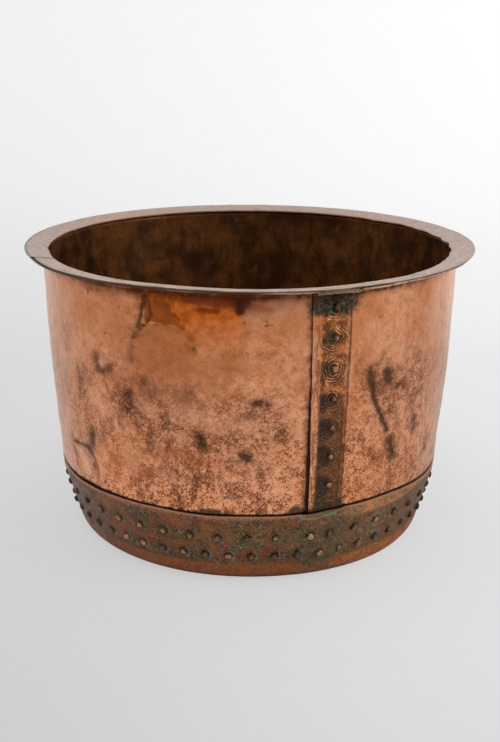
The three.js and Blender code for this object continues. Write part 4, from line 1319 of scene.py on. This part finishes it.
# %% Where the base pan is marked
front, z = wrapped(A_pan), Z_pan / mm
ahead = 1 - smooth(np.abs(front), 112, 158)
right_lip = 12 * within(front, 20, 28, 44, 60)
lip_band = smooth(z + right_lip, 94, 104) - 0.5 * smooth(-front, 38, 62) * ahead
greenish = 0.15 + 0.65 * blot(4, 15, 66, 22) + 0.5 * hump(front - 36, 20) + 0.5 * hump(front - 20, 6)
verdigris_marks = [
    (1.5, 1.15, [(13.5, 104), (15, 101), (18, 99), (20.5, 100.5), (23.5, 103)]),
    (1.4, 0.9, [(19, 106), (21, 102), (24, 99), (28, 99)]), (1.8, 0.9, [(13.8, 106), (14.2, 98)]),
    (4, 0.8, [(33, 62), (34.5, 56)]), (5, 0.8, [(46, 74), (48, 66)]), (5, 0.6, [(11, 52), (14, 56), (12, 62)]),
]
noted_on_pan = {
    "lip_band": lip_band + 0.25 * hump(front - 40, 14) * smooth(z, 80, 90),
    # painted highlight along the pan's top edge
    "lip_edge_highlight": smooth(Z_pan, pan_lip_height - 3.2 * mm, pan_lip_height - 0.6 * mm),
    "clean_low": 1 - smooth(z, 20, 33),
    "foot_shade": 1 - smooth(z, 2, 9),
    "right_side": smooth(front, 18, 36) * ahead,
    "left_side": (1 - smooth(front, -75, -35)) * ahead,
    "pan_ring": np.minimum(pan_ring_share, share_limit) / share_limit,
    "pan_ring_side": pan_ring_side,
    "lower_row": 1 - smooth(z, 50, 56),
    "score": hump(z - 54.5, 0.9) * within(front, -62, -50, -22, -12),
    "seam_foot": hump(front - 20, 7),
    "greenish": greenish,
    "verdigris": strokes(A_pan, Z_pan, verdigris_marks, "soft"),
}
for name, values in noted_on_pan.items():
    plain_value = 1.0 if name == "pan_ring" else 0.0
    inner = np.full((len(pan_degrees), len(pan_inner_rows)), plain_value)
    note(pan, name, np.append(np.concatenate([values, inner], axis=1).ravel(), [plain_value] * 2))
print(len(noted_on_pan), "notes on each of the pan's points")

# %% [markdown]
# The pan's coats lie in the order in which they came: red-brown, green, the lip and the foot rubbed back
# to copper, a painted shade at the very foot, the halo, scratches and crescent of each rivet, then speckle,
# green drips at the seam, and last a highlight painted along the top edge.

# %% Finish of the base pan
aged = Finish("aged_copper_pan")
noted = aged.noted
large, middle = aged.cloud(0.06, 2.0), aged.cloud(0.020, 3.0)
small, fine, grit = aged.cloud(0.009, 3.0, 0.55, None, 1.2), aged.cloud(0.0045, 2.0), aged.cloud(0.0022, 1.0)
ragged = (small - 0.5) * 0.8 + (fine - 0.5) * 0.6
right, left = noted("right_side"), noted("left_side")

darker = (middle * 0.6 + small * 0.4).from_to(0.40, 0.58)
aged.tone = aged.blend(darker, (0.26, 0.084, 0.033), (0.062, 0.033, 0.019))
aged.coat((large * 0.3 + small * 0.7).from_to(0.50, 0.62) * 0.5, (0.36, 0.12, 0.058))
aged.coat(left * 0.5, (0.19, 0.112, 0.085))
aged.coat(right * middle.from_to(0.38, 0.55) * 0.6, (0.30, 0.115, 0.048))
verdigris = (middle * 0.4 + small * 0.6 + noted("greenish") * 0.16).from_to(0.53, 0.68)
aged.coat(verdigris * 0.45, (0.088, 0.062, 0.030))
band = (noted("lip_band") + ragged * 1.9 + (middle - 0.5) * 1.4 - noted("seam_foot") * 0.9).from_to(0.30, 1.0)
band_tone = aged.blend(right, (0.55, 0.225, 0.125), (0.92, 0.36, 0.15))
aged.coat(band * (0.38 + right * 0.25 - left * 0.2), band_tone)
aged.coat(right * (middle * 0.5 + small * 0.5).from_to(0.47, 0.57) * 0.55, (0.15, 0.085, 0.036))
low = (noted("clean_low") + (middle - 0.5) * 0.7 + (small - 0.5) * 0.5).from_to(0.25, 0.95)
low_tone = aged.blend(right, (0.41, 0.118, 0.042), (0.68, 0.20, 0.042))
low_tone = aged.blend((middle * 0.5 + small * 0.5).from_to(0.42, 0.58) * 0.65, low_tone, (0.20, 0.062, 0.028))
aged.coat(low * (0.9 - left * 0.5), low_tone)
aged.coat(noted("foot_shade") * 0.45, (0.14, 0.06, 0.035))

halo_at = noted("pan_ring") * share_limit + ragged * 0.7
halo = (1.05 - halo_at).from_to(0.0, 0.5)
aged.coat(halo * (0.66 + noted("lower_row") * 0.16), (0.046, 0.034, 0.022))
curl = aged.cloud(0.010, 3.0, 0.55, None, 2.6)
threads = aged.cloud(0.013, 1.0, 0.5, None, 1.6).thread(0.03)
threads = threads.most(aged.cloud(0.010, 1.0, 0.5, aged.stretched(1, 1, 1.6), 1.2).thread(0.03))
scores = (threads * (middle * 0.6 + small * 0.4).from_to(0.46, 0.58)).most(curl.thread(0.04) * 0.7)
aged.coat(scores * (0.35 + verdigris * 0.4 + halo * 0.4 + noted("greenish") * 0.4), (0.50, 0.41, 0.23))
lit_side = (noted("pan_ring_side") + ragged * 0.8).from_to(0.1, 0.7)
crescent = halo_at.from_to(0.50, 0.8) * (1.25 - halo_at).from_to(0.0, 0.3) * lit_side
aged.coat(crescent * (0.22 + noted("lower_row") * 0.55), (0.26, 0.29, 0.22))

grain = fine * 0.45 + grit * 0.55
speckle = (grain + (small - 0.5) * 0.35).from_to(0.50, 0.60) * (band * 0.8 + 0.35) * (1.0 - right * 0.6)
aged.coat(speckle * 0.75, (0.085, 0.032, 0.018))
aged.coat(noted("score") * 0.6, (0.30, 0.10, 0.06))
aged.coat(noted("seam_foot") * (middle + small).from_to(0.75, 1.25) * 0.75, (0.092, 0.082, 0.042))
aged.mark("verdigris", ragged * 1.3, 0.35, 1.0, 0.75, (0.25, 0.34, 0.22))
# painted highlight along the top edge
aged.coat(noted("lip_edge_highlight") * (1.0 - noted("seam_foot") * 0.7) * 0.65, (0.70, 0.38, 0.27))
rough = (small * 0.5 + middle * 0.5 + verdigris * 0.2).from_to(0.3, 0.8, 0.36, 0.60)
rings = halo_at.sine(18.0) * (1.5 - halo_at).from_to(0.0, 0.6)
height = small * 0.6 + fine * 0.3 - speckle * 0.35
pan_metal = aged.metal(rough, aged.relief(height, 0.0005, aged.relief(rings, 0.0004)), 0.9)
print("pan finish has", len(aged.tree.nodes), "nodes")

columns = len(pan_degrees)
pan_rows = len(pan_section) + len(pan_inner_rows) - 1
inner_side = np.tile(np.arange(pan_rows) >= len(pan_section), columns)
wear(pan, np.concatenate([inner_side, np.zeros(columns), np.ones(columns)]), pan_metal, inside_metal)

# %% [markdown]
# The ring was tinned once, and the tin is rubbed thin: a pale pinkish grey with fine scratches across
# the strip. At the front its edge shows copper with long dark lines in it, and the butt joint is black.

# %% Finish of the rim ring
shares_in = across_shares[::2]
columns, rows = len(ring_degrees), len(across_shares) + len(shares_in)
noted_along = {
    "along": np.radians(ring_degrees) * rim_radius,
    "joint": np.maximum(hump(ring_degrees - joint_at, 0.8), hump(ring_degrees - joint_at - 360, 0.8)),
    "front": hump(ring_front, 55),
    "outline": within(ring_front, -160, -120, -70, -60),
    "olive": hump(ring_front - 45, 2.0) + 0.5 * hump(ring_front - 62, 3),
    "warm": hump(ring_front + 135, 28) + 0.6 * hump(ring_front - 140, 30),
}
noted_across = {
    "across": np.concatenate([across_shares[::-1], shares_in]),
    "side_face": np.concatenate([np.zeros(len(across_shares)), np.ones(len(shares_in))]),
}
for name, values in noted_along.items():
    note(ring, name, np.repeat(values[:, None], rows, axis=1))
for name, values in noted_across.items():
    note(ring, name, np.repeat(values[None, :], columns, axis=0))

pale = Finish("pale_copper_ring")
noted = pale.noted
middle, small, fine = pale.cloud(0.018), pale.cloud(0.006, 4.0), pale.cloud(0.0022, 3.0)
along, across = noted("along"), noted("across")
scratch = pale.cloud(0.0019, 3.0, 0.6, pale.joined(along, across * 0.006))
pale.tone = pale.blend(middle.from_to(0.35, 0.65), (0.50, 0.375, 0.325), (0.42, 0.335, 0.305))
pale.coat(scratch.from_to(0.50, 0.68) * 0.5, (0.31, 0.215, 0.175))
warm = (noted("warm") * (1.0 - across) * 1.3 + (middle - 0.5) * 0.9).from_to(0.2, 1.0)
pale.coat(warm * 0.6, (0.60, 0.30, 0.20))
lines = pale.cloud(0.0042, 3.0, 0.6, pale.joined(along * 0.10, across * 0.045))
front_tone = pale.blend(scratch.from_to(0.4, 0.65), (0.86, 0.58, 0.44), (0.58, 0.36, 0.26))
front_tone = pale.blend(lines.from_to(0.44, 0.54) * 0.85, front_tone, (0.20, 0.10, 0.06))
pale.coat(noted("front") * 0.9, front_tone)
pale.coat((small * 0.6 + fine * 0.4).from_to(0.55, 0.64) * 0.45, (0.28, 0.20, 0.16))
pale.mark("olive", small - 0.5, 0.3, 0.9, 0.6, (0.22, 0.22, 0.16))
rim_line = (across + (small - 0.5) * 0.10).from_to(0.86, 0.96)
pale.coat(rim_line * (0.15 + noted("outline") * 0.6), (0.15, 0.17, 0.145))
pale.mark("joint", (small - 0.5) * 0.3, 0.35, 0.85, 0.9, (0.045, 0.035, 0.025))
side = noted("side_face").from_to(0.1, 0.5)
pale.coat(side * 0.9, pale.blend(across.from_to(0.3, 0.7), (0.26, 0.115, 0.06), (0.10, 0.075, 0.05)))
pale.coat(across.below(0.0, 0.05) * 0.5, (0.42, 0.22, 0.14))
scratched = pale.relief(scratch * 0.4 + small * 0.5, 0.00025)
shiny = 1.0 - side.most(noted("front") * 0.4) * 0.8
ring_metal = pale.metal(scratch.from_to(0.35, 0.65, 0.30, 0.45), scratched, shiny, (0.94, 0.90, 0.87))
wear(ring, None, ring_metal)
print("ring finish has", len(pale.tree.nodes), "nodes")

# %% [markdown]
# A rivet's head is dark round its seat, where dirt stays, and bright on the crown, painted for wear and
# as a highlight: more on the heads that face the front, and some heads more than others. The upper row
# has a brassy shine and the other two are pinker.

# %% Finish of the rivets
def rivet_finish(name, low_tone, tip_tone, tip_share):
    """Dark at the seat, and bright on the crown, painted for wear and as a highlight by the share noted on each
    head.
    """
    head = Finish(name)
    small, fine = head.cloud(0.0040, 3.0), head.cloud(0.0016, 3.0)
    worn = head.noted("worn")
    # painted highlight and wear on the crown
    tip = (head.noted("crown") + (small - 0.5) * 1.8 + (worn - 0.5) * 0.7).from_to(0.55, 1.15)
    head.tone = head.blend(small.from_to(0.40, 0.60), low_tone, tuple(0.45 * v for v in low_tone))
    head.coat(tip * (worn * 0.75 + 0.25) * tip_share, tip_tone)
    return head.metal(tip.from_to(0, 1, 0.55, 0.42), head.relief(small * 0.7 + fine * 0.3, 0.0007), 0.92)


wear(seam_rivets, None, rivet_finish("seam_rivet_copper", (0.16, 0.075, 0.040), (0.74, 0.36, 0.21), 0.85))
wear(upper_rivets, None, rivet_finish("upper_rivet_copper", (0.11, 0.068, 0.040), (0.58, 0.34, 0.14), 0.95))
wear(lower_rivets, None, rivet_finish("lower_rivet_copper", (0.11, 0.062, 0.040), (0.68, 0.29, 0.19), 0.95))
print("rivet finishes:", [row.data.materials[0].name for row in (seam_rivets, upper_rivets, lower_rivets)])

# %% [markdown]
# The bucket stands on a pale floor that curves up behind it into a backdrop, as in a studio. Polished
# copper shows what is round it, so the floor in front of the wall is as bright as the wall should look.
# The camera and the copper see the floor's own soft glow, and everything else sees plain matt paint.

# %% Floor and backdrop
floor_half, floor_front, floor_back, cove, wall_up = 4.5, -4.5, 2.3, 1.6, 4.2
cove_angles = np.linspace(0, math.pi / 2, 25)
profile = np.concatenate([
    np.column_stack([np.linspace(floor_front, floor_back, 30), np.zeros(30)]),
    np.column_stack([floor_back + cove * np.sin(cove_angles), cove * (1 - np.cos(cove_angles))])[1:],
    [(floor_back + cove, wall_up)],
])
sides = np.linspace(-floor_half, floor_half, 19)
X, k = np.meshgrid(sides, np.arange(len(profile)), indexing="ij")
floor_points = np.stack([X, profile[k, 0], profile[k, 1]], axis=-1).reshape(-1, 3)
floor_mesh = bpy.data.meshes.new("floor")
floor_mesh.from_pydata(floor_points, [], grid_faces(len(sides), len(profile), False, False).tolist())
floor_mesh.update()
floor_mesh.polygons.foreach_set("use_smooth", np.ones(len(floor_mesh.polygons), bool))
floor = bpy.data.objects.new("floor", floor_mesh)
bpy.context.scene.collection.objects.link(floor)
floor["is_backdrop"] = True

plain = Finish("plain_floor")
depth, aside = plain.axis("Y"), plain.axis("X")
spread = aside / depth.from_to(-0.6, 4.2, 1.1, 5.6)
lighter = depth.from_to(-0.75, 0.5, 0.0, 0.125) + depth.from_to(0.2, 4.2, 0.0, 0.17)
lighter = lighter + spread.from_to(-0.36, 0.36, 0.0, 0.16) + 0.580
away = plain.node("ShaderNodeVectorMath", {"operation": "LENGTH"}, {0: plain.place}, "Value")
plain.tone = plain.blend(depth.from_to(0.2, 3.0), (0.605, 0.61, 0.615), (0.80, 0.80, 0.80))
# painted light: the matt floor lighter close round the bucket, which thins its shadow
plain.coat(away.below(0.24, 0.95) * 0.8, (0.78, 0.785, 0.79))
matt = plain.node("ShaderNodeBsdfPrincipled", {}, {
    "Base Color": plain.tone, "Roughness": 0.9, "Specular IOR Level": 0.0})
white = plain.node("ShaderNodeCombineXYZ", {}, {"X": lighter, "Y": lighter, "Z": lighter})
glow = plain.node("ShaderNodeEmission", {}, {"Color": white, "Strength": 1.0})
seen = plain.node("ShaderNodeLightPath", {}, {}, "Is Camera Ray")
mirrored = plain.node("ShaderNodeLightPath", {}, {}, "Is Glossy Ray")
shown = seen * depth.from_to(0.35, 1.2, 0.78, 1.0) + mirrored * depth.from_to(0.35, 1.2)
both = plain.node("ShaderNodeMixShader", {}, {0: shown, 1: matt, 2: glow})
wear(floor, None, plain.surfaced(both))
print("floor", 2 * floor_half, "m wide, with a backdrop", wall_up, "m high")

# %% [markdown]
# Copper is a mirror of its room. A dim even sky, brighter on the right, gives the wall its broad glow,
# and three soft lamps add the lights on the rim and along both sides.

# %% Lamps
world = bpy.data.worlds.new("studio")
world.use_nodes = True
world.node_tree.nodes["Background"].inputs["Color"].default_value = rgb(1.0, 1.0, 1.0)
sky = Shade(world.node_tree.nodes["Background"].outputs[0])
towards = sky.node("ShaderNodeTexCoord", {}, {}, "Generated")
from_left = sky.node("ShaderNodeSeparateXYZ", {}, {"Vector": towards}, "X")
brightness = from_left.from_to(-1.0, 0.45, 0.27, 0.44)
world.node_tree.links.new(brightness.socket, world.node_tree.nodes["Background"].inputs["Strength"])
bpy.context.scene.world = world


def lamp(name, place, aim, size, power):
    """A square soft lamp at a place, turned towards an aim."""
    light = bpy.data.lights.new(name, "AREA")
    light.size, light.energy = size, power
    lit = bpy.data.objects.new(name, light)
    bpy.context.scene.collection.objects.link(lit)
    to = Matrix.Translation(place).translation
    direction = (Matrix.Translation(aim).translation - to).normalized()
    lit.matrix_world = Matrix.Translation(place) @ direction.to_track_quat("-Z", "Y").to_matrix().to_4x4()


lamp("overhead", (-0.5, -0.3, 2.6), (0, 0.1, 0), 2.2, 46)
lamp("right_window", (2.6, -0.9, 1.5), (0, 0, 0.2), 1.6, 24)
lamp("left_window", (-2.6, -0.4, 1.3), (0, 0, 0.2), 1.6, 7)

# %% [markdown]
# Last, colours are shown with the standard view, and the box of the dressed bucket is printed.

# %% Close
bpy.context.scene.view_settings.view_transform = "Standard"
low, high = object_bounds()
print("visual box", [round(v, 4) for v in (*low, *high)])
